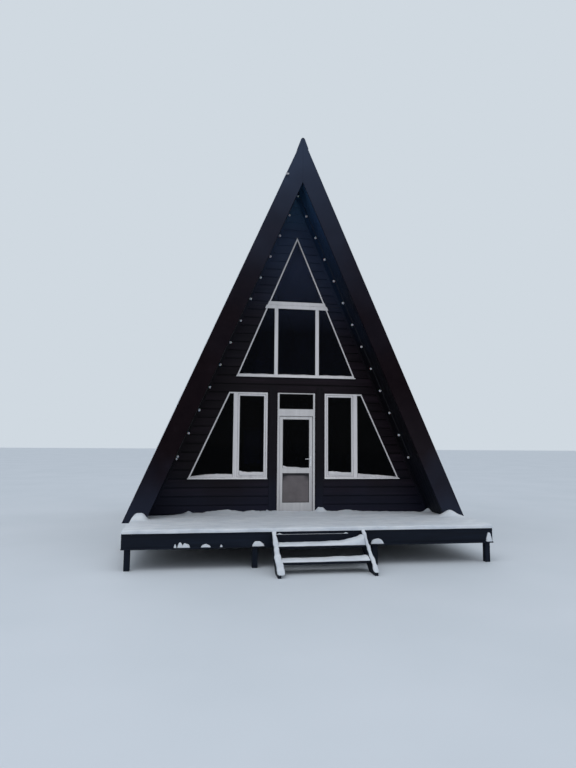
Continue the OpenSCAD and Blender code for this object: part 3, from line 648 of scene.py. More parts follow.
def floor_planks():
    """Floor boards side by side between the roof's inner faces."""
    low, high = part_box("cabin_floor")
    half = half_at(high.z, LINING_D + 0.001)
    return planks((-half, low.y, low.z), (half, high.y, high.z), 0, FLOOR_W, FLOOR_GAP)


def stair_planks():
    """Two boards to a tread, with a gap between them; each tread is a run further and a rise lower."""
    low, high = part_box("treads")
    rows = []
    for n in (1, 2):
        y, top = DECK_LOW.y - n * STEP_RUN, DECK_Z - n * STEP_RISE
        for start, end in TREAD_BOARDS:
            rows.append((low.x, high.x, y + start, y + end, top - TREAD_T, top))
    return boxes(rows)


deck_planks = planks(DECK_LOW, DECK_HIGH, 1, DECK_W, DECK_GAP)
subfloor_planks = planks(*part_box("subfloor"), 1, SUBFLOOR_W, SUBFLOOR_GAP)
add("deck_planks", deck_planks, fascia_stain, "deck_timber", node="deck_boards", ease=0.003)
add("subfloor_planks", subfloor_planks, fascia_stain, "floor_timber", node="subfloor", ease=0.0015)
add("floor_planks", floor_planks(), floor_wood, "floor_timber", node="cabin_floor", ease=0.001)
add("stair_planks", stair_planks(), fascia_stain, "stained_timber", node="treads", ease=0.004)
eased("ground_posts", post_stain, "post_timber", 0.006)
eased("cross_beams", fascia_stain, "post_timber", 0.005)
eased("floor_joists", fascia_along, "post_timber", 0.004)
for node, finish in (("front_fascia", fascia_stain), ("back_fascia", fascia_stain),
                     ("side_fascias", fascia_along), ("stringers", fascia_along)):
    eased(node, finish, "stained_timber", 0.004)


# Roof

RIBS = round((ROOF_Y1 - ROOF_Y0) / 0.2)
RIB_PITCH = (ROOF_Y1 - ROOF_Y0) / RIBS
RIB_DEPTH = 0.022
RIB_SHARES = (0.30, 0.38, 0.62, 0.70)  # foot, crest, crest and foot of a rib within its pitch
SCREW_R, SCREW_T = 0.008, 0.006
SCREW_SHARE = 0.12  # a screw's place within the pitch
SCREW_Z0, SCREW_Z1, SCREW_STEP = DECK_Z + 0.25, RIDGE_Z - 0.6, 0.55
HEM_W, HEM_STEP = 0.024, 0.004
GROOVE = 0.007
FLASHING = (  # reach and drop below the ridge line, from the foot to the nose
    (0.122, 0.248), (0.102, 0.192), (0.058, 0.072), (0.047, 0.04), (0.032, 0.014), (0.012, 0), (0, -0.002),
)


def sheet_profile():
    """Section of the ribbed sheet along Y: flat pans and a flat-topped rib at each pitch, closed behind."""
    y = ROOF_Y0 + RIB_PITCH * (np.arange(RIBS)[:, None] + RIB_SHARES)
    crest = PAN_D - RIB_DEPTH
    front = np.stack([y.ravel(), np.tile([PAN_D, crest, crest, PAN_D], RIBS)], -1)
    ends = [[ROOF_Y1, PAN_D], [ROOF_Y1, CLAD_D], [ROOF_Y0, CLAD_D], [ROOF_Y0, PAN_D]]
    return np.concatenate([front, ends])


def roof_screws(side):
    """Hexagon screw heads in every second pan, on battens up the slope, square to the roof."""
    y = ROOF_Y0 + RIB_PITCH * (np.arange(0, RIBS, 2) + SCREW_SHARE)
    z = np.arange(SCREW_Z0, SCREW_Z1, SCREW_STEP)
    y, z = (a.ravel() for a in np.meshgrid(y, z))
    up, out = slope_axes(side)
    centre = np.stack([side * half_at(z, PAN_D), y, z], -1)
    heads = SCREW_R * spokes(up, np.array([0, 1, 0]), 6)
    return bars(centre[:, None, None] + heads + np.array([0, SCREW_T])[None, :, None, None] * out)


def rake_profile(y0, y1):
    """Section of a rake board, face at y0 and back at y1: a folded hem stands proud along both edges."""
    pan_y = y0 + math.copysign(HEM_STEP, y1 - y0)
    return [
        (y1, 0.0), (y0, 0.0), (y0, HEM_W), (pan_y, HEM_W + HEM_STEP),
        (pan_y, RAKE_D - HEM_W + 0.002), (y0, RAKE_D - HEM_W + 0.006), (y0, RAKE_D), (y1, RAKE_D),
    ]


def soffit_profile(y0, y1, boards):
    """Section of the soffit boarding: board by board along Y with a shallow groove at each joint."""
    width = (y1 - y0) / boards
    y = y0 + np.arange(boards)[:, None] * width + [0, GROOVE, width - GROOVE, width]
    depth = np.tile([SOFFIT_D - GROOVE, SOFFIT_D, SOFFIT_D, SOFFIT_D - GROOVE], boards)
    return np.concatenate([np.stack([y.ravel(), depth], -1), [[y1, LINING_D], [y0, LINING_D]]])


def ridge_flashing():
    """Folded cap over the ridge, stood off the ribs and blunt at its nose, with closed ends: its section in
    X and Z carried from the front rakes to the back ones."""
    reach, drop = np.transpose(FLASHING)
    wing = np.stack([reach, RIDGE_Z - drop], -1)
    foot_z = wing[0, 1]
    foot_x = half_at(foot_z, 0.0)
    under = [(-foot_x, foot_z), (0.0, RIDGE_Z - 0.004), (foot_x, foot_z)]
    low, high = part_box("ridge_cap")
    return carried(np.concatenate([wing, wing[-2::-1] * [-1, 1], under]), 1, (low.y, high.y))


for side, word, steel in ((-1, "left", sheet), (1, "right", dusty_sheet)):
    add(f"{word}_roof_sheet", slope_bars(side, sheet_profile()), roof_sheet, "roof_metal",
        node=f"{word}_cladding")
    add(f"{word}_roof_screws", roof_screws(side), zinc, "white_metal")
    for end, y0, y1 in (("front", RAKE_Y, ROOF_Y0), ("back", END_Y, ROOF_Y1)):
        add(f"{end}_{word}_rake_board", slope_bars(side, rake_profile(y0, y1)), steel, "roof_metal",
            node=f"{end}_{word}_rake", ease=0.0015)
for end, profile in (
    ("front", soffit_profile(ROOF_Y0, SHEATH_Y, 6)),
    ("back", soffit_profile(BACK_SHEATH_Y, ROOF_Y1, 3)),
):
    shape = joined(slope_bars(-1, profile), slope_bars(1, profile))
    add(f"{end}_soffit_boards", shape, soffit_stain, "soffit", node=f"{end}_soffits")
add("ridge_flashing", ridge_flashing(), sheet, "roof_metal", node="ridge_cap", ease=0.002)


# Siding

# A board's face: shares of the row's height from its foot up, and how deep each lies
FACE_SHARES = np.array([0, 0.012, 0.035, 0.87, 0.885, 0.9, 0.985, 1.0])
FACE_DEPTHS = np.array([0.011, 0.0025, 0.0, 0.0, 0.003, 0.0165, 0.0165, 0.012])
NARROWEST = 0.004
TUCK = 0.008
TRIM_LEFT, TRIM_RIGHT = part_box("door_side_trims")
TRIM_W = 0.156


def siding(rows, face, inward):
    """Boards from rows of z0, z1, their row's foot, and the left edge's and the right edge's x at z0 and z1:
    the face profile (an eased foot, a flat face and a rebate at the head) carried from the left edge to the
    right one, its depth counted inwards from the wall's face."""
    z0, z1, foot, *edges = np.asarray(rows, float).T[:, :, None]
    z = np.clip(foot + FACE_SHARES * ROW, z0, z1)
    depth = np.interp((z - foot) / ROW, FACE_SHARES, FACE_DEPTHS)
    z = np.concatenate([z, z[:, -1:], z[:, :1]], 1)
    depth = np.concatenate([depth, np.full((len(z), 2), SIDING_T)], 1)
    rise = (z - z0) / (z1 - z0)
    x = np.stack([low + rise * (high - low) for low, high in (edges[:2], edges[2:])], 1)
    y, z = (np.repeat(a[:, None], 2, 1) for a in (face + inward * depth, z))
    return bars(np.stack([x, y, z], -1))


def siding_rows(edge_depth, holes, breaks):
    """Rows of boards between the sloping edges, cut at the holes and split at the breaks; a hole is its
    foot, its top, and its left and right edges as functions of z."""
    top = apex_at(edge_depth)
    heights = sorted({DECK_Z, *breaks, *np.arange(ROW_Z0, top, ROW).round(4), round(top, 4)})
    rows = []
    for z0, z1 in zip(heights, heights[1:]):
        foot = ROW_Z0 + math.floor((z0 + 1e-4 - ROW_Z0) / ROW) * ROW
        middle = (z0 + z1) / 2
        cuts = sorted(
            ((left, right) for low, high, left, right in holes if low < middle < high),
            key=lambda edges: edges[0](middle),
        )
        starts = [lambda z: -half_at(z, edge_depth), *[right for _, right in cuts]]
        ends = [*[left for left, _ in cuts], lambda z: half_at(z, edge_depth)]
        for left, right in zip(starts, ends):
            if right(middle) - left(middle) > NARROWEST:
                rows.append((z0, z1, foot, left(z0), left(z1), right(z0), right(z1)))
    return rows


def beside(side, reach):
    """Place along X at a reach from the openings' middle, side -1 left and 1 right."""
    return OPENING_X + side * reach


def upright(x):
    """Edge that stands at x at every height."""
    return lambda z: x


def leaning(x0, z0, x1, z1):
    """Edge from (x0, z0) to (x1, z1)."""
    return lambda z: x0 + (z - z0) * (x1 - x0) / (z1 - z0)


def front_holes():
    """Openings and trims that the front siding is cut round, each from its left edge to its right one;
    boards run a little way under the frames."""
    holes = []
    for side in (-1, 1):
        inner = upright(beside(side, LOW_IN + TUCK))
        outer = leaning(beside(side, LOW_FOOT - TUCK), LOW_Z0, beside(side, LOW_TOP - TUCK), HEAD_Z)
        holes.append((LOW_Z0, HEAD_Z, *(inner, outer)[::side]))
    upper = [leaning(beside(side, UP_HALF - TUCK), UP_Z0, OPENING_X, UP_APEX - 0.02) for side in (-1, 1)]
    holes.append((UP_Z0, UP_APEX - 0.03, *upper))
    holes.append((0, HEAD_Z, upright(DOOR_LOW.x + TUCK), upright(DOOR_HIGH.x - TUCK)))
    for x in (TRIM_LEFT.x, TRIM_RIGHT.x - TRIM_W):
        holes.append((0, TRIM_RIGHT.z, upright(x), upright(x + TRIM_W)))
    return holes


front_rows = siding_rows(TRIM_D, front_holes(), [round(TRIM_RIGHT.z, 4), round(HEAD_Z, 4)])
back_holes = [(z0, z1, upright(TUCK - half), upright(half - TUCK)) for half, z0, z1, _ in BACK_WINDOWS]
back_rows = siding_rows(SOFFIT_D, back_holes, [z for window in BACK_WINDOWS for z in window[1:3]])
add("front_siding", siding(front_rows, WALL_Y, 1), stained, "siding")
add("back_siding", siding(back_rows, BACK_Y, -1), stained, "siding")
eased("wall_edge_trims", stained_upright, "stained_timber", 0.003)
eased("door_side_trims", stained_upright, "stained_timber", 0.004)


# Windows

def rectangle(x0, z0, x1, z1):
    """Outline of a rectangle, its corners anticlockwise from the low left one."""
    return np.array([(x0, z0), (x1, z0), (x1, z1), (x0, z1)], float)


def outline_of(low, high):
    """Outline of a box seen from the front."""
    return rectangle(low.x, low.z, high.x, high.z)


def shrunk(outline, width):
    """Outline moved in by a width, or by one for each side: each corner goes to where its two sides cross
    once both are moved along their normals. Corners run anticlockwise."""
    corners = np.asarray(outline, float)
    along = unit(np.roll(corners, -1, 0) - corners)
    normal = np.stack([-along[:, 1], along[:, 0]], -1)
    before = np.roll(normal, 1, 0)
    ahead = np.broadcast_to(width, len(corners))
    behind = np.roll(ahead, 1)
    cross = before[:, 0] * normal[:, 1] - before[:, 1] * normal[:, 0]
    x = (behind * normal[:, 1] - ahead * before[:, 1]) / cross
    z = (ahead * before[:, 0] - behind * normal[:, 0]) / cross
    return corners + np.stack([x, z], -1)


def mirrored(outline):
    """Outline turned over the openings' middle, corners still anticlockwise."""
    return (outline * [-1, 1])[::-1]


def placed(outline):
    """Outline about the openings' middle, moved to where the openings are."""
    return np.asarray(outline, float) + [OPENING_X, 0]


def flat_ring(outline, width, face, back):
    """Ring of square section inside an outline."""
    return ring(outline, shrunk(outline, width), [(0, back), (0, face), (1, face), (1, back)])


def member(face, back, bead=0.0):
    """Section of a frame member from outer edge to inner edge: eased front edges, and a sloping bead of
    the given share on the inner side."""
    return [
        (0.0, back), (0.0, face + EASE), (0.05, face),
        (0.95 - bead, face), (1.0 - bead / 2, face + 0.004), (1.0, face + 0.004 + 0.02 * bead), (1.0, back),
    ]


def gasket_lip(pane, face, glass_y=GLASS_Y0, inner=0.004, proud=0.0008):
    """Rubber round a pane: it laps over the member's edge, a hair proud of the member's face, and ends on
    the glass."""
    profile = [
        (0, glass_y), (0, face - proud), (0.5, face - proud - 0.0004),
        (1, glass_y - 0.003), (1, glass_y + 0.001),
    ]
    return ring(shrunk(pane, -LIP), shrunk(pane, inner), profile)


def casing(outline, width):
    """White outer frame as wide as given, less the shadow gap round it, and in the gap a dark strip of
    painted shadow.
    """
    white = ring(shrunk(outline, LIP), shrunk(outline, width), member(FRAME_Y0, FRAME_Y1))
    return white, flat_ring(outline, LIP + 0.001, FRAME_Y0 + GAP_SET, FRAME_Y1)


def bar_section(start, end, face, back):
    """Section of a bar with eased front edges: rows of the place across the bar and the place along Y."""
    return np.array([
        (start, back), (start, face + EASE), (start + EASE, face),
        (end - EASE, face), (end, face + EASE), (end, back),
    ])


def bar_upright(x0, x1, z0, z1):
    """Upright bar between two panes, just inside the frame's face and back."""
    return carried(bar_section(x0, x1, FRAME_Y0 + HAIR, FRAME_Y1 - HAIR), 2, (z0, z1))


def bar_level(left, right, z0, z1, face, back):
    """Level bar between two ends, each given by its x at z0 and at z1."""
    section = bar_section(z0, z1, face, back)
    return carried(section[:, ::-1], 0, [np.interp(section[:, 0], (z0, z1), end) for end in (left, right)])


def sill_nose(x0, x1, z):
    """Folded sill: a plate that falls forward, with a turned-down lip at its nose."""
    y0, y1 = FRAME_Y0 - SILL_OUT, FRAME_Y0 + 0.004
    profile = [
        (y1, z + 0.020), (y0 + 0.003, z + 0.016), (y0, z + 0.013), (y0, z),
        (y0 + 0.003, z), (y0 + 0.004, z + 0.012), (y1, z + 0.015),
    ]
    return carried(profile, 0, (x0, x1))


def low_edge(z, width):
    """Sloping edge of the right lower window at height z, moved in by a width square to it."""
    return LOW_FOOT - (z - LOW_Z0) * LOW_SLOPE - width / math.cos(math.atan(LOW_SLOPE))


def up_edge(z, width):
    """Sloping edge of the upper window at height z, moved in by a width square to it."""
    return (UP_APEX - z) * UP_SLOPE - width / math.cos(math.atan(UP_SLOPE))


def low_window(turn):
    """Frame and casement sash, gaskets, and sill of the right lower window, or of the left one where the
    turn mirrors them."""
    def at(outline):
        """Outline or points of the right window, turned and moved to where they go."""
        return placed(turn(np.asarray(outline, float)))

    foot, top, post_in = LOW_Z0 + FRAME_W, HEAD_Z - FRAME_W, MULLION_IN + SASH_W
    outline = at([(LOW_IN, LOW_Z0), (LOW_FOOT, LOW_Z0), (LOW_TOP, HEAD_Z), (LOW_IN, HEAD_Z)])
    fixed = at([(MULLION_OUT, foot), (low_edge(foot, FRAME_W), foot), (low_edge(top, FRAME_W), top),
                (MULLION_OUT, top)])
    opening = at(rectangle(LOW_IN + FRAME_W, foot, post_in, top))
    sash_out, sash_in = shrunk(opening, SEAM), shrunk(opening, SASH_W)
    post = sorted(at([(post_in, 0), (MULLION_OUT, 0)])[:, 0])
    # The casing's dark strip is painted shadow in the gap round the frame
    shown, strip = casing(outline, FRAME_W)
    white = [
        shown,
        ring(sash_out, sash_in, member(FRAME_Y0 + SASH_SET, FRAME_Y1 - 0.002, SASH_BEAD)),
        bar_upright(*post, foot - TENON, top + TENON),
    ]
    dark = [
        flat_ring(shrunk(opening, -0.001), SEAM + 0.002, FRAME_Y0 + GAP_SET, FRAME_Y1 - 0.01),
        gasket_lip(sash_in, FRAME_Y0 + SASH_SET + 0.004),
        gasket_lip(fixed, FRAME_Y0),
        strip,
    ]
    return white, dark, sill_nose(*sorted(at([(LOW_IN, 0), (LOW_FOOT, 0)])[:, 0]), LOW_Z0)


def low_windows():
    """Both lower windows, the right one as drawn and the left one mirrored."""
    white, dark, sills = zip(low_window(lambda outline: outline), low_window(mirrored))
    add("low_window_frame_bars", joined(*white[0], *white[1]), plastic, "white_frame",
        node="low_window_frames", smooth=30)
    add("low_window_sills", joined(*sills), enamel, "white_frame")
    add("low_window_gaskets_and_painted_shadow", joined(*dark[0], *dark[1]), gasket)


def upper_window():
    """Triangular window: outer frame with a taller foot rail, two posts and a band of two rails."""
    outline = placed([(-UP_HALF, UP_Z0), (UP_HALF, UP_Z0), (0, UP_APEX)])
    # The casing's dark strip is painted shadow in the gap round the frame
    shown, strip = casing(outline, [UP_RAIL, FRAME_W, FRAME_W])
    middle = (BAND_Z0 + BAND_Z1) / 2

    def across(half0, half1, z0, z1, face, back):
        """Level bar through the middle, given by its half length at z0 and at z1."""
        left, right = ((beside(side, half0), beside(side, half1)) for side in (-1, 1))
        return bar_level(left, right, z0, z1, face, back)

    white = [shown]
    for z0, z1, past, face in ((BAND_Z0 + LIP, middle - BAND_SPLIT, 0.022, FRAME_Y0 - 0.006),
                               (middle + BAND_SPLIT, BAND_Z1 - LIP, 0.004, FRAME_Y0 - 0.001)):
        half0, half1 = (up_edge(z, 0) + past for z in (z0, z1))
        white.append(across(half0, half1, z0, z1, face, FRAME_Y1 - HAIR))
    for side in (-1, 1):
        x0, x1 = sorted((beside(side, UP_MULL_IN), beside(side, UP_MULL_OUT)))
        white.append(bar_upright(x0, x1, UP_RAIL_Z - TENON, BAND_Z0 + TENON))
    top, rail, band = (up_edge(z, FRAME_W) for z in (BAND_Z1, UP_RAIL_Z, BAND_Z0))
    peak = UP_APEX - FRAME_W / math.sin(math.atan(UP_SLOPE))
    right = np.array([(UP_MULL_OUT, UP_RAIL_Z), (rail, UP_RAIL_Z), (band, BAND_Z0), (UP_MULL_OUT, BAND_Z0)])
    panes = (
        [(-top, BAND_Z1), (top, BAND_Z1), (0, peak)],
        rectangle(-UP_MULL_IN, UP_RAIL_Z, UP_MULL_IN, BAND_Z0), right, mirrored(right),
    )
    dark = [strip, *(gasket_lip(placed(pane), FRAME_Y0) for pane in panes)]
    dark.append(across(1.0, 0.99, middle - BAND_SPLIT, middle + BAND_SPLIT, FRAME_Y0 + 0.003,
                       FRAME_Y1 - 0.01))
    sill = sill_nose(beside(-1, UP_HALF), beside(1, UP_HALF), UP_Z0)
    add("upper_window_frame_bars", joined(*white), plastic, "white_frame", node="upper_window_frame",
        smooth=30)
    add("upper_window_sill", sill, enamel, "white_frame")
    add("upper_window_gaskets_and_painted_shadow", joined(*dark), gasket)


def back_windows():
    """Rectangular windows in the back wall: an outer ring, a sash to each pane with gaskets at its glass and
    in its seam, a post between two panes, and a plain sill."""
    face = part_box("back_window_frames")[1].y - SILL_OUT
    back = face - (FRAME_Y1 - FRAME_Y0)
    glass_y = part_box("back_window_glass")[1].y
    white, dark, sills = [], [], []
    for half, z0, z1, panes in BACK_WINDOWS:
        white.append(flat_ring(rectangle(-half, z0, half, z1), FRAME_W, face, back))
        width = (2 * half + (panes - 1) * FRAME_W) / panes
        for k in range(panes):
            x0 = -half + k * (width - FRAME_W)
            sash = shrunk(rectangle(x0, z0, x0 + width, z1), FRAME_W + SEAM)
            sight, seam = shrunk(sash, SASH_W - SEAM - 0.001), shrunk(sash, -SEAM - 0.001)
            white.append(flat_ring(sash, SASH_W - SEAM, face - SASH_SET, back + 0.002))
            dark.append(flat_ring(sight, LIP, glass_y + 0.004, glass_y - 0.001))
            dark.append(flat_ring(seam, SEAM + 0.002, face - SASH_SET - 0.003, back + 0.01))
        if panes == 2:
            post = (-FRAME_W / 2, FRAME_W / 2, back + HAIR, face - HAIR, z0 + FRAME_W, z1 - FRAME_W)
            white.append(boxes([post]))
        sills.append(boxes([(-half, half, face - 0.004, face + SILL_OUT, z0 + 0.001, z0 + 0.017)]))
    add("back_window_frame_bars", joined(*white), plastic, "white_frame", node="back_window_frames",
        ease=0.002)
    add("back_window_sills", joined(*sills), enamel, "white_frame", ease=0.003)
    add("back_window_gaskets", joined(*dark), gasket)


low_windows()
upper_window()
back_windows()


# Door unit

HANDLE_X = LEAF_HIGH.x - 0.039
HANDLE_Z = 1.855
LOCK_Z = 1.745
PLATE_Z0, PLATE_Z1 = 1.69, 1.92
PLATE_HALF = 0.017
PLATE_LAYERS = ((1.0, 0.0), (1.0, 0.006), (0.82, 0.009))  # share of its width, and height off the leaf
LEVER_OUT, LEVER_LONG, LEVER_BEND = 0.048, 0.13, 0.018
LEVER_R, LEVER_TAPER, LEVER_DIP = 0.0085, 0.0015, 0.004
NECK = ((0.014, 0.0), (0.014, 0.012), (0.010, 0.016), (0.009, LEVER_OUT - LEVER_BEND))
LOCK = ((0.011, 0.0), (0.011, 0.012), (0.009, 0.014))


def door_unit():
    """Fixed frame: posts, head and foot as one ring, the transom bar, and a metal threshold on the foot."""
    outline = outline_of(DOOR_LOW, DOOR_HIGH)
    # The casing's dark strip is painted shadow in the gap round the frame
    shown, strip = casing(outline, [DOOR_FOOT, JAMB_W, DOOR_HIGH.z - TRANSOM_HIGH.z, JAMB_W])
    left, right = DOOR_LOW.x + JAMB_W, DOOR_HIGH.x - JAMB_W
    bar = bar_level((left - TENON,) * 2, (right + TENON,) * 2, TRANSOM_LOW.z - TRANSOM_BAR, TRANSOM_LOW.z,
                    FRAME_Y0 + 0.002, FRAME_Y1 - HAIR)
    threshold = boxes([
        (left - 0.004, right + 0.004, FRAME_Y0 - 0.012, FRAME_Y1, DECK_Z + 0.012, DECK_Z + 0.036),
        (left - 0.004, right + 0.004, FRAME_Y0 + 0.012, FRAME_Y1 - 0.01, DECK_Z + 0.034, DECK_Z + 0.04),
    ])
    lip = gasket_lip(outline_of(TRANSOM_LOW, TRANSOM_HIGH), FRAME_Y0)
    add("door_frame_bars", joined(shown, bar), door_plastic, "white_frame", node="door_frame", smooth=30)
    add("door_threshold", threshold, zinc, "white_metal", ease=0.002)
    add("door_frame_gaskets_and_painted_shadow", joined(lip, strip), gasket)


def door_leaf():
    """Leaf: a ring with a tall foot rail, the middle rail, and gaskets round both panes."""
    face, back = LEAF_LOW.y, LEAF_HIGH.y
    upper_low, upper_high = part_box("leaf_upper_glass")
    lower_low, lower_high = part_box("leaf_lower_glass")
    outline = outline_of(LEAF_LOW, LEAF_HIGH)
    stile = upper_low.x - LEAF_LOW.x
    inner = shrunk(outline, [lower_low.z - LEAF_LOW.z, stile, LEAF_HIGH.z - upper_high.z, stile])
    profile = [
        (0, back), (0, face + 0.004), (0.04, face), (0.9, face),
        (1, face + 0.005), (1, back - 0.005), (0.9, back),
    ]
    rail = bar_level((upper_low.x - TENON,) * 2, (upper_high.x + TENON,) * 2, lower_high.z, upper_low.z,
                     face + 0.001, back - 0.001)
    lips = [gasket_lip(outline_of(low, high), face, low.y, 0.005, 0.0006)
            for low, high in ((upper_low, upper_high), (lower_low, lower_high))]
    add("door_leaf_bars", joined(ring(outline, inner, profile), rail), door_plastic, "white_frame",
        body="door", node="door_leaf", smooth=30)
    add("door_leaf_gaskets", joined(*lips), gasket, body="door")


def handle_face(y, out):
    """Lever handle on one face of the leaf: a plate with round ends that narrows to its front, a neck, a
    lever that bends off it by a quarter circle and runs on straight, and a lock."""
    half_turn = np.linspace(0, np.pi, 9)
    tall = (PLATE_Z1 - PLATE_Z0) / 2 - PLATE_HALF
    top = np.stack([PLATE_HALF * np.cos(half_turn), tall + PLATE_HALF * np.sin(half_turn)], -1)
    middle = (HANDLE_X, (PLATE_Z0 + PLATE_Z1) / 2)
    plate = bars(np.stack([
        np.insert(middle + np.concatenate([top, -top]) * (grow, 0.9 + 0.1 * grow), 1, y + out * away, 1)
        for grow, away in PLATE_LAYERS
    ])[None])
    share = np.linspace(0, 1, 17)
    turn = np.clip(share * 3, 0, 1) * np.pi / 2
    straight = np.clip(share - 1 / 3, 0, 1) * 1.5 * (LEVER_LONG - LEVER_BEND)
    path = np.stack([
        HANDLE_X - LEVER_BEND * (1 - np.cos(turn)) - straight,
        y + out * (LEVER_OUT - LEVER_BEND + LEVER_BEND * np.sin(turn)),
        HANDLE_Z - LEVER_DIP * np.clip(share * 2 - 1, 0, 1) ** 2,
    ], -1)
    lever = tube(path, LEVER_R - LEVER_TAPER * share, (0, 0, 1), 12)
    neck, lock = (turned(profile, (HANDLE_X, y, z), (0, out, 0), (1, 0, 0), 16)
                  for z, profile in ((HANDLE_Z, NECK), (LOCK_Z, LOCK)))
    return joined(plate, lever, neck, lock)


door_unit()
door_leaf()
handles = joined(handle_face(LEAF_LOW.y, -1), handle_face(LEAF_HIGH.y, 1))
add("door_levers", handles, enamel, "white_metal", body="door", node="door_handle", smooth=35)

dress(lining_wood, "loft_floor", "left_roof", "right_roof", "front_wall_left", "front_wall_right",
      "front_wall_upper", "back_wall")
dress(glass, "low_window_glass", "back_window_glass", "transom_glass", "leaf_upper_glass")
dress(loft_glass, "upper_window_glass")
dress(painted_light_pane, "leaf_lower_glass")
dress(enamel, "frame_hinges", "leaf_hinges")


# String of bulbs under the front soffit, and the insulated hook

CORD_R = 0.005
CORD_D = SOFFIT_D + CORD_R
CORD_WAVE = 0.0015
BULB_D = 0.423
BULB_R = 0.028
BULB_Y = WALL_Y - 0.33
BULB_Z0 = 1.92
BULB_RISE = 0.494
BULBS = 12
# The bulb beside the lowest left one: its foot's way down the slope, its drop and how far forward it leans
BESIDE_DOWN, BESIDE_DROP, BESIDE_FORWARD, BESIDE_SCALE = 0.055, 0.030, 0.02, 0.9
SOCKET = ((0.010, -0.004), (0.013, 0.002), (0.013, 0.014), (0.011, 0.016))
INSULATOR = (
    (0.010, -0.036), (0.021, -0.033), (0.024, -0.024), (0.017, -0.016), (0.016, -0.008), (0.023, 0.0),
    (0.016, 0.008), (0.017, 0.016), (0.024, 0.024), (0.021, 0.033), (0.010, 0.036),
)
PIN = ((0.013, 0.0), (0.013, 0.003), (0.0065, 0.004), (0.0065, 0.05))


def bulb(centre, axis, side, scale=1.0):
    """Round bulb, open to its socket: an arc turned about the line that stands square to the soffit."""
    turn = np.linspace(-0.42 * np.pi, 0.5 * np.pi, 12)
    globe = np.stack([BULB_R * np.cos(turn), BULB_R * np.sin(turn)], -1) * scale
    globe[-1, 0] = 0.002
    return turned(globe, centre, axis, side, 18)


def light_string():
    """Cord up both slopes with a slight wave, a socket and a bulb at each rise and beside the left side's
    lowest one, and a bulb in the apex."""
    cords, globes, sockets = [], [], []

    def hang(foot, up, out, drop, scale=1.0):
        """Socket with its foot on the cord, and a bulb at a drop from the foot."""
        sockets.append(turned(SOCKET, foot, -out, up, 14))
        globes.append(bulb(foot + drop, -out, up, scale))

    def lay(path):
        """Cord along a path."""
        cords.append(tube(path, CORD_R * 0.8, (0, 1, 0), 8))

    for side in (-1, 1):
        z = np.linspace(BULB_Z0, apex_at(CORD_D), 60)
        wave = CORD_WAVE * np.sin((z - BULB_Z0) / BULB_RISE * np.pi * 2)
        lay(np.stack([side * half_at(z, CORD_D), BULB_Y + wave, z], -1))
        up, out = slope_axes(side)
        for z in BULB_Z0 + np.arange(BULBS) * BULB_RISE:
            hang(np.array([side * half_at(z, CORD_D), BULB_Y, z]), up, out, (CORD_D - BULB_D) * out)
    up, out = slope_axes(-1)
    second = np.array([-half_at(BULB_Z0, CORD_D), BULB_Y, BULB_Z0]) - up * BESIDE_DOWN
    hang(second, up, out, -BESIDE_DROP * out + [0, -BESIDE_FORWARD, 0], BESIDE_SCALE)
    apex = np.array([0, BULB_Y, apex_at(SOFFIT_D + 0.003 + BULB_R)])
    globes.append(bulb(apex, (0, 0, -1), (1, 0, 0)))
    lay([apex + [0, 0, BULB_R], [0, BULB_Y, apex_at(CORD_D) - 0.002]])
    add("string_bulbs", joined(*globes), milky, "string_light", node="string_lights", smooth=60)
    add("string_cord", joined(*cords), gasket, "string_light", smooth=60)
    add("string_sockets", joined(*sockets), gasket, "string_light", smooth=40)


def insulated_hook():
    """Ribbed porcelain insulator lying across an iron pin that is screwed into the left rake."""
    low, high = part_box("wire_anchor")
    x, z = (low.x + high.x) / 2, (low.z + high.z) / 2
    insulator = turned(INSULATOR, (x, high.y - 0.045, z), (1, 0, 0), (0, 0, 1), 28)
    pin = turned(PIN, (x, high.y, z), (0, -1, 0), (1, 0, 0), 18)
    add("porcelain_insulator", insulator, porcelain, "insulator", node="wire_anchor", smooth=50)
    add("insulator_pin", pin, zinc, "insulator", smooth=40)


light_string()
insulated_hook()


# Snow that lies on the cabin

# A heap's x, y, width, reach, height and power; the depth against the front wall at an x; a clump's x, half
# width, height and power
HEAPS = (
    (0.545, WALL_Y, 0.05, 0.10, 0.078, 2), (0.64, WALL_Y, 0.075, 0.10, 0.088, 2),
    (-3.21, RAKE_Y - 0.06, 0.14, 0.14, 0.14, 3.5), (3.19, RAKE_Y - 0.05, 0.16, 0.15, 0.125, 2),
    (3.08, WALL_Y - 0.12, 0.11, 0.10, 0.10, 2),
)
WALL_DEPTHS = (
    (-3.1, 0.01), (-2.75, 0.01), (-2.55, 0.035), (-2.4, 0.06), (-2.3, 0.11), (-2.2, 0.068), (-2.0, 0.07),
    (-1.75, 0.105), (-1.45, 0.13), (-1.1, 0.082), (-0.92, 0.112), (-0.75, 0.086), (-0.5, 0.1), (0.0, 0.08),
    (0.8, 0.072), (0.98, 0.075), (1.18, 0.105), (1.6, 0.062), (2.8, 0.045), (2.95, 0.012), (3.13, 0.01),
)
CLUMPS = (
    (-2.46, 0.022, 0.055, 2.0), (-2.375, 0.045, 0.085, 2.0), (-2.28, 0.075, 0.065, 2.0),
    (-1.93, 0.085, 0.055, 1.2), (-1.66, 0.022, 0.035, 1.5), (-1.005, 0.108, 0.080, 2.2),
    (1.19, 0.120, 0.09, 2.4), (3.39, 0.055, 0.15, 2.0),
)


# The deck's blanket: how far it reaches past the deck's sides, past its front edge and into the wall, its
# even depth, how far out the wall's own depths count, and the width of its rounded edge. The lift keeps
# snow just off what it lies on
DECK_SIDE, DECK_FRONT, DECK_BACK = 0.012, 0.022, 0.026
DECK_DEPTH, WALL_REACH, DECK_ROUND = 0.066, 0.22, 0.05
LIFT = 0.0005
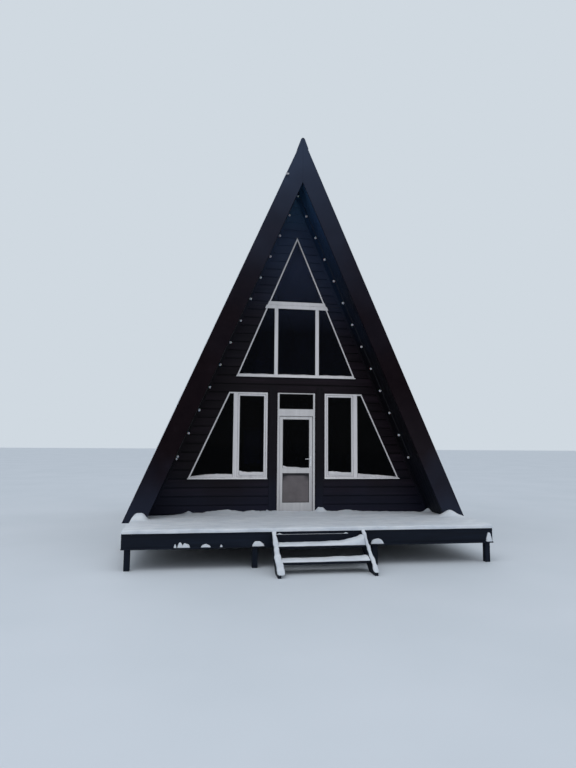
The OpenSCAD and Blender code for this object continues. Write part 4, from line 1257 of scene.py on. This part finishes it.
# The treads' snow: each tread's number from the top, even depth and drift, the snow's width from front to
# back, and where along the tread the drift starts and how long it rises
TREAD_DEPTHS = ((1, 0.036, 0.12), (2, 0.030, 0.03))
TREAD_SNOW_W = 0.297
DRIFT_X, DRIFT_W = 0.42, 0.45


def grid(count, across, start=0):
    """Shares u along and v across a strip, as whole grids: u from the start to 1 and v from 0 to 1."""
    return np.meshgrid(np.linspace(start, 1, count), np.linspace(0, 1, across), indexing="ij")


def swells(x, size, seed):
    """Unevenness along one direction, from places along it."""
    return ripple(x, 0 * x, size, seed)


def bell(x, middle, width):
    """Bell curve: e to the power of minus the square of the distance from the middle in widths."""
    return np.exp(-(((x - middle) / width) ** 2))


def rounded(share):
    """Quarter circle: the root of one less the square of what a share lacks to one."""
    return np.sqrt(np.clip(1 - (1 - np.clip(share, 0, 1)) ** 2, 0, 1))


def humped(v, power):
    """Hump across a strip: the root of one less the distance from its middle line to a power."""
    return np.sqrt(np.clip(1 - np.abs(2 * v - 1) ** power, 0, 1))


def laid(x, y, low, high):
    """Snow over a grid of places, between a low and a high surface."""
    return shell(np.stack([x, y, high], -1), np.stack([x, y, low + 0 * x], -1))


def deck_snow():
    """Blanket on the deck: an even depth with slow swells that passes into the wall's own depths within a
    stride, crumbs left of the door, heaps at the rake feet and beside the door (each a bell curve, flatter
    on top across X the higher its power), and an edge that rounds off in a hand's width."""
    xs = np.linspace(DECK_LOW.x - DECK_SIDE, DECK_HIGH.x + DECK_SIDE, 420)
    way = np.linspace(0, 1, 96)
    ys = DECK_LOW.y - DECK_FRONT + (WALL_Y + DECK_BACK - DECK_LOW.y) * (0.12 * way + 0.88 * way**1.8)
    x, y = np.meshgrid(xs, ys, indexing="ij")
    y = y + 0.012 * swells(x, 0.5, 3) * np.clip((ys[-1] - y) / 2, 0, 1)
    depth = DECK_DEPTH + 0.007 * ripple(x, y, 1.1, 5) + 0.003 * ripple(x, y, 0.25, 6)
    near = np.exp(-np.clip(WALL_Y - y, 0, None) / WALL_REACH)
    crumbs = 0.03 * np.clip(swells(x, 0.06, 10), 0, None) * bell(x, -0.66, 0.2)
    at_wall = np.interp(x, *np.transpose(WALL_DEPTHS)) + 0.006 * swells(x, 0.16, 9) + crumbs
    depth = depth + near * (np.clip(at_wall, 0.004, None) - depth)
    for x0, y0, width, reach, height, power in HEAPS:
        depth = depth + height * np.exp(-np.abs((x - x0) / width) ** power) * bell(y, y0, reach)
    rim = np.minimum.reduce([x - xs[0], xs[-1] - x, y - ys[0] + 0.012])
    return laid(x, y, DECK_Z + LIFT, DECK_Z + 2 * LIFT + depth * rounded(rim / DECK_ROUND))


def tread_snow():
    """Rounded bands on the two treads: a hump across each tread, and along it an even depth with small
    swells that drifts up towards the right stringer and tapers at both ends."""
    low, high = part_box("treads")
    u, v = grid(70, 13)
    x = low.x + 0.004 + u * (high.x - low.x - 0.008)
    ends = rounded(np.minimum(u, 1 - u) / 0.02)
    shapes = []
    for n, even, rise in TREAD_DEPTHS:
        z = DECK_Z - n * STEP_RISE
        drift = even + rise * np.clip((x - DRIFT_X) / DRIFT_W, 0, 1) ** 1.2 + 0.014 * bell(x, 0.35, 0.16)
        tall = drift * (1 + 0.12 * swells(x, 0.18, 20 + n))
        front = DECK_LOW.y - n * STEP_RUN - 0.012
        y = front + v * TREAD_SNOW_W + 0.008 * swells(x, 0.22, 21 + n) * (1 - v)
        shapes.append(laid(x, y, z, z + LIFT + tall * ends * humped(v, 3)))
    return joined(*shapes)


def stringer_snow():
    """Ropes of snow down the tops of both stringers: a humped section that swells, thins and narrows to
    both ends, and spreads towards the treads at the left one's foot."""
    low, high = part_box("stringers")
    inset, run = 0.03, 0.855
    u, v = grid(110, 13)
    y = DECK_LOW.y + inset - u * run
    slope_z = np.minimum(DECK_Z, DECK_Z + (y - DECK_LOW.y) * STEP_RISE / STEP_RUN)
    ends = rounded(np.minimum(u / 0.04, (1 - u) / 0.05))
    foot = 1 / (1 + np.exp(-(u - 0.74) / 0.07))
    shapes = []
    for middle, half, spread, seed in ((low.x + 0.036, 0.042, 0.030, 31), (high.x - 0.03, 0.031, 0.008, 33)):
        lump = 0.008 * swells(y, 0.22, seed) + 0.004 * swells(y, 0.09, seed + 3)
        width = (half + lump + spread * foot) * (0.45 + 0.55 * ends)
        x = middle + (2 * v - 1) * width + 0.9 * spread * foot + 0.006 * swells(y, 0.16, seed + 2)
        tall = np.clip(0.030 + 1.4 * lump + 0.4 * spread * foot, 0.006, None) * humped(v, 2.6)
        shapes.append(laid(x, y, slope_z - 0.001, slope_z + 0.001 + tall * ends))
    return joined(*shapes)


def ledge_clumps():
    """Clumps on the ledge batten and on the corner post, each leaning on the fascia: its height is a root
    of one less the distance from its middle to a power, so low powers make it pointed."""
    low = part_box("front_fascia")[0]
    ledge_z = low.z + 0.025
    u, v = grid(25, 9, -1)
    y = low.y - 0.006 + v * 0.046
    lean = np.sqrt(np.clip(1 - (1 - v) ** 3, 0, 1))
    shapes = []
    for k, (x0, half, tall, power) in enumerate(CLUMPS):
        x = x0 + u * half
        lump = tall * np.clip(1 - np.abs(u) ** power, 0, 1) ** 0.6 * (1 + 0.16 * swells(x, half, 50 + k))
        shapes.append(laid(x, y, ledge_z, ledge_z + LIFT + np.clip(lump, 0, None) * lean))
    return joined(*shapes)


def pane_snow(x0, x1, z, height, seed, face, back, count=36):
    """Snow that leans on a pane: from its foot at z up to the given height along X, bulging towards the
    front like a quarter ellipse."""
    u, v = grid(count, 11)
    x = x0 + u * (x1 - x0)
    tall = np.clip(height(u) * (1 + 0.10 * swells(x, 0.12, seed)), 0.002, None)
    turn = v * np.pi / 2
    up = z + tall * np.sin(turn)
    bulge = np.stack([x, back + (face - back) * np.cos(turn), up], -1)
    return shell(bulge, np.stack([x, np.full_like(x, back + LIFT), up], -1))


def window_snow():
    """Snow in the foot of each front window: a bank on the fixed pane, an even one in the sash, and a thin
    line on the upper window's foot rail."""
    face, back = FRAME_Y0 - 0.006, GLASS_Y0 - 0.001
    foot = LOW_Z0 + FRAME_W
    edge = up_edge(UP_RAIL_Z, FRAME_W)
    shapes = []
    for side, seed, bank, even in (
        (-1, 60, lambda u: 0.075 * np.sin(np.pi * np.clip(0.06 + 0.62 * u, 0, 1)) ** 0.8,
         lambda u: 0.070 + 0.025 * (1 - u) ** 6),
        (1, 70, lambda u: 0.07 * (1 - u) ** 0.8 + 0.008, lambda u: 0.072 + 0.012 * np.cos(4 * u)),
    ):
        fixed = sorted((beside(side, MULLION_OUT), beside(side, low_edge(foot, FRAME_W))))
        casement = sorted((beside(side, LOW_IN + FRAME_W + SASH_W), beside(side, MULLION_IN)))
        shapes.append(pane_snow(*fixed, foot - 0.004, bank, seed, face, back))
        shapes.append(pane_snow(*casement, foot + SASH_W - 0.004, even, seed + 2, face, back))
    for x0, x1 in ((-UP_MULL_IN, UP_MULL_IN), (UP_MULL_OUT, edge), (-edge, -UP_MULL_OUT)):
        shapes.append(pane_snow(beside(1, x0), beside(1, x1), UP_RAIL_Z - 0.003,
                                lambda u: 0.006 + 0.006 * np.sin(7 * u) ** 2, 80, face + 0.008, back))
    return joined(*shapes)


def leaf_snow():
    """Snow on the door's middle rail: a point at the hinges, a low bank, and next to none near the lock."""
    low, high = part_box("leaf_upper_glass")
    return pane_snow(
        low.x + 0.002, high.x - 0.002, low.z - 0.003,
        lambda u: np.interp(u, (0, 0.05, 0.17, 0.55, 0.72, 1), (0.050, 0.046, 0.022, 0.015, 0.002, 0.006)),
        90, LEAF_LOW.y - 0.004, low.y - 0.001,
    )


def riser_snow():
    """Thin line of snow blown on the fascia above the upper tread, with crumbs near both its ends."""
    low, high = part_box("stringers")
    return pane_snow(
        low.x + 0.07, low.x + 0.82 * (high.x - low.x), DECK_Z - 0.055,
        lambda u: 0.004 + 0.022 * bell(u, 0.05, 0.025) + 0.018 * bell(u, 0.97, 0.02),
        95, DECK_LOW.y - 0.007, DECK_LOW.y - LIFT, 150,
    )


def rake_snow():
    """Crust along the left slope's front edge: a thin humped ridge on the roof's outer face."""
    foot, rise = 0.84, 7.4
    u, v = grid(240, 11)
    z = foot + u * rise
    y = RAKE_Y + 0.002 + v * (0.075 + 0.016 * swells(z, 0.8, 41))
    lump = np.clip(0.016 + 0.005 * ripple(z, y, 0.35, 42) - 0.009 * u, 0.001, None)
    tall = lump * np.sqrt(np.clip(np.minimum(u, 1 - u) / 0.03, 0, 1)) * humped(v, 4)
    return shell(np.stack([-half_at(z, -LIFT - tall), y, z], -1), np.stack([-half_at(z, 0.0), y, z], -1))


add("deck_snow", deck_snow(), snow, smooth=60)
add("tread_snow", tread_snow(), snow, smooth=60)
add("stringer_snow", stringer_snow(), snow, smooth=60)
add("riser_snow", riser_snow(), snow, smooth=60)
add("ledge_snow", ledge_clumps(), snow, smooth=60)
# Snow in the windows and on the door takes the lit copy of the snow: painted light
add("window_snow", window_snow(), painted_lit_snow, smooth=60)
add("leaf_snow", leaf_snow(), painted_lit_snow, body="door", smooth=60)
add("left_edge_snow", rake_snow(), snow, smooth=60)


# Camera, floor and light

CAMERA_AT = (-2.0419, -14.3397, 2.2383)
CAMERA_YAW, CAMERA_PITCH, CAMERA_ROLL = 8.6639, 5.869, 0.4315
CAMERA_LENS, CAMERA_SENSOR, CAMERA_REACH = 26.25, 36.0, 400
FLOOR_REACH, FLOOR_Z = 150.0, -0.001
SKY_TINT, SKY_STRENGTH = (0.90, 0.95, 1.0, 1), 0.86
BACKGROUND_TINT = srgb(208, 217, 225)
LAMP_AHEAD = (0.25, 0.62, -0.75)
LAMP_AIM = (0, 0, 4.0)
LAMP_AWAY = 20
LAMP_WIDE, LAMP_TALL, LAMP_POWER, LAMP_TINT = 16, 12, 900, (1.0, 0.98, 0.96)


def stood(name, data, right, up, ahead, at):
    """Camera or lamp standing at a place, with its three directions as its matrix's columns."""
    obj = new_object(name, data)
    axes = np.stack([right, up, -ahead], 1)
    obj.matrix_world = Matrix([(*row, place) for row, place in zip(axes, at)] + [(0, 0, 0, 1)])
    return obj


def photo_camera():
    """Camera at the photograph's place, its axes from its yaw towards +X, its upward pitch and its roll."""
    yaw, pitch, roll = (math.radians(a) for a in (CAMERA_YAW, CAMERA_PITCH, CAMERA_ROLL))
    ahead = np.array([math.sin(yaw) * math.cos(pitch), math.cos(yaw) * math.cos(pitch), math.sin(pitch)])
    right = np.array([math.cos(yaw), -math.sin(yaw), 0])
    up = np.cross(right, ahead)
    right, up = math.cos(roll) * right + math.sin(roll) * up, math.cos(roll) * up - math.sin(roll) * right
    data = bpy.data.cameras.new("photo_camera")
    data.lens, data.sensor_width, data.sensor_fit = CAMERA_LENS, CAMERA_SENSOR, "AUTO"
    data.clip_end = CAMERA_REACH
    bpy.context.scene.camera = stood("photo_camera", data, right, up, ahead, CAMERA_AT)


def pale_floor():
    """Plain pale floor, one square a millimetre below ground level."""
    g = Graph("pale_floor")
    cloud = g.noise(0.35, 3, 0.5)
    mesh = bpy.data.meshes.new("floor")
    corners = rectangle(-FLOOR_REACH, -FLOOR_REACH, FLOOR_REACH, FLOOR_REACH)
    mesh.from_pydata(np.insert(corners, 2, FLOOR_Z, 1), [], [(0, 1, 2, 3)])
    mesh.materials.append(g.done(g.ramp(cloud, (0.3, (196, 204, 213)), (0.7, (202, 209, 218))), 0.85))
    floor = new_object("floor", mesh)


def studio_light():
    """Even cool sky light, a pale background where the camera, gloss or glass sees it, and a soft lamp."""
    world = bpy.data.worlds.new("studio")
    bpy.context.scene.world = world
    world.use_nodes = True
    nodes, links = world.node_tree.nodes, world.node_tree.links
    path = nodes.new("ShaderNodeLightPath")
    seen = path.outputs["Is Camera Ray"]
    for ray in ("Is Glossy Ray", "Is Transmission Ray"):
        either = nodes.new("ShaderNodeMath")
        either.operation = "MAXIMUM"
        links.new(seen, either.inputs[0])
        links.new(path.outputs[ray], either.inputs[1])
        seen = either.outputs[0]
    light, shown = nodes["Background"], nodes.new("ShaderNodeBackground")
    light.inputs["Color"].default_value = SKY_TINT
    light.inputs["Strength"].default_value = SKY_STRENGTH
    shown.inputs["Color"].default_value = BACKGROUND_TINT
    mix = nodes.new("ShaderNodeMixShader")
    for socket, output in zip(mix.inputs, (seen, light.outputs[0], shown.outputs[0])):
        links.new(output, socket)
    links.new(mix.outputs[0], nodes["World Output"].inputs["Surface"])
    lamp = bpy.data.lights.new("soft_lamp", "AREA")
    lamp.shape, lamp.size, lamp.size_y = "RECTANGLE", LAMP_WIDE, LAMP_TALL
    lamp.energy, lamp.color = LAMP_POWER, LAMP_TINT
    ahead = unit(LAMP_AHEAD)
    right = unit(np.cross(ahead, [0, 0, 1]))
    stood("soft_lamp", lamp, right, np.cross(right, ahead), ahead, np.array(LAMP_AIM) - ahead * LAMP_AWAY)
    bpy.context.scene.view_settings.view_transform = "Standard"


photo_camera()
pale_floor()
studio_light()
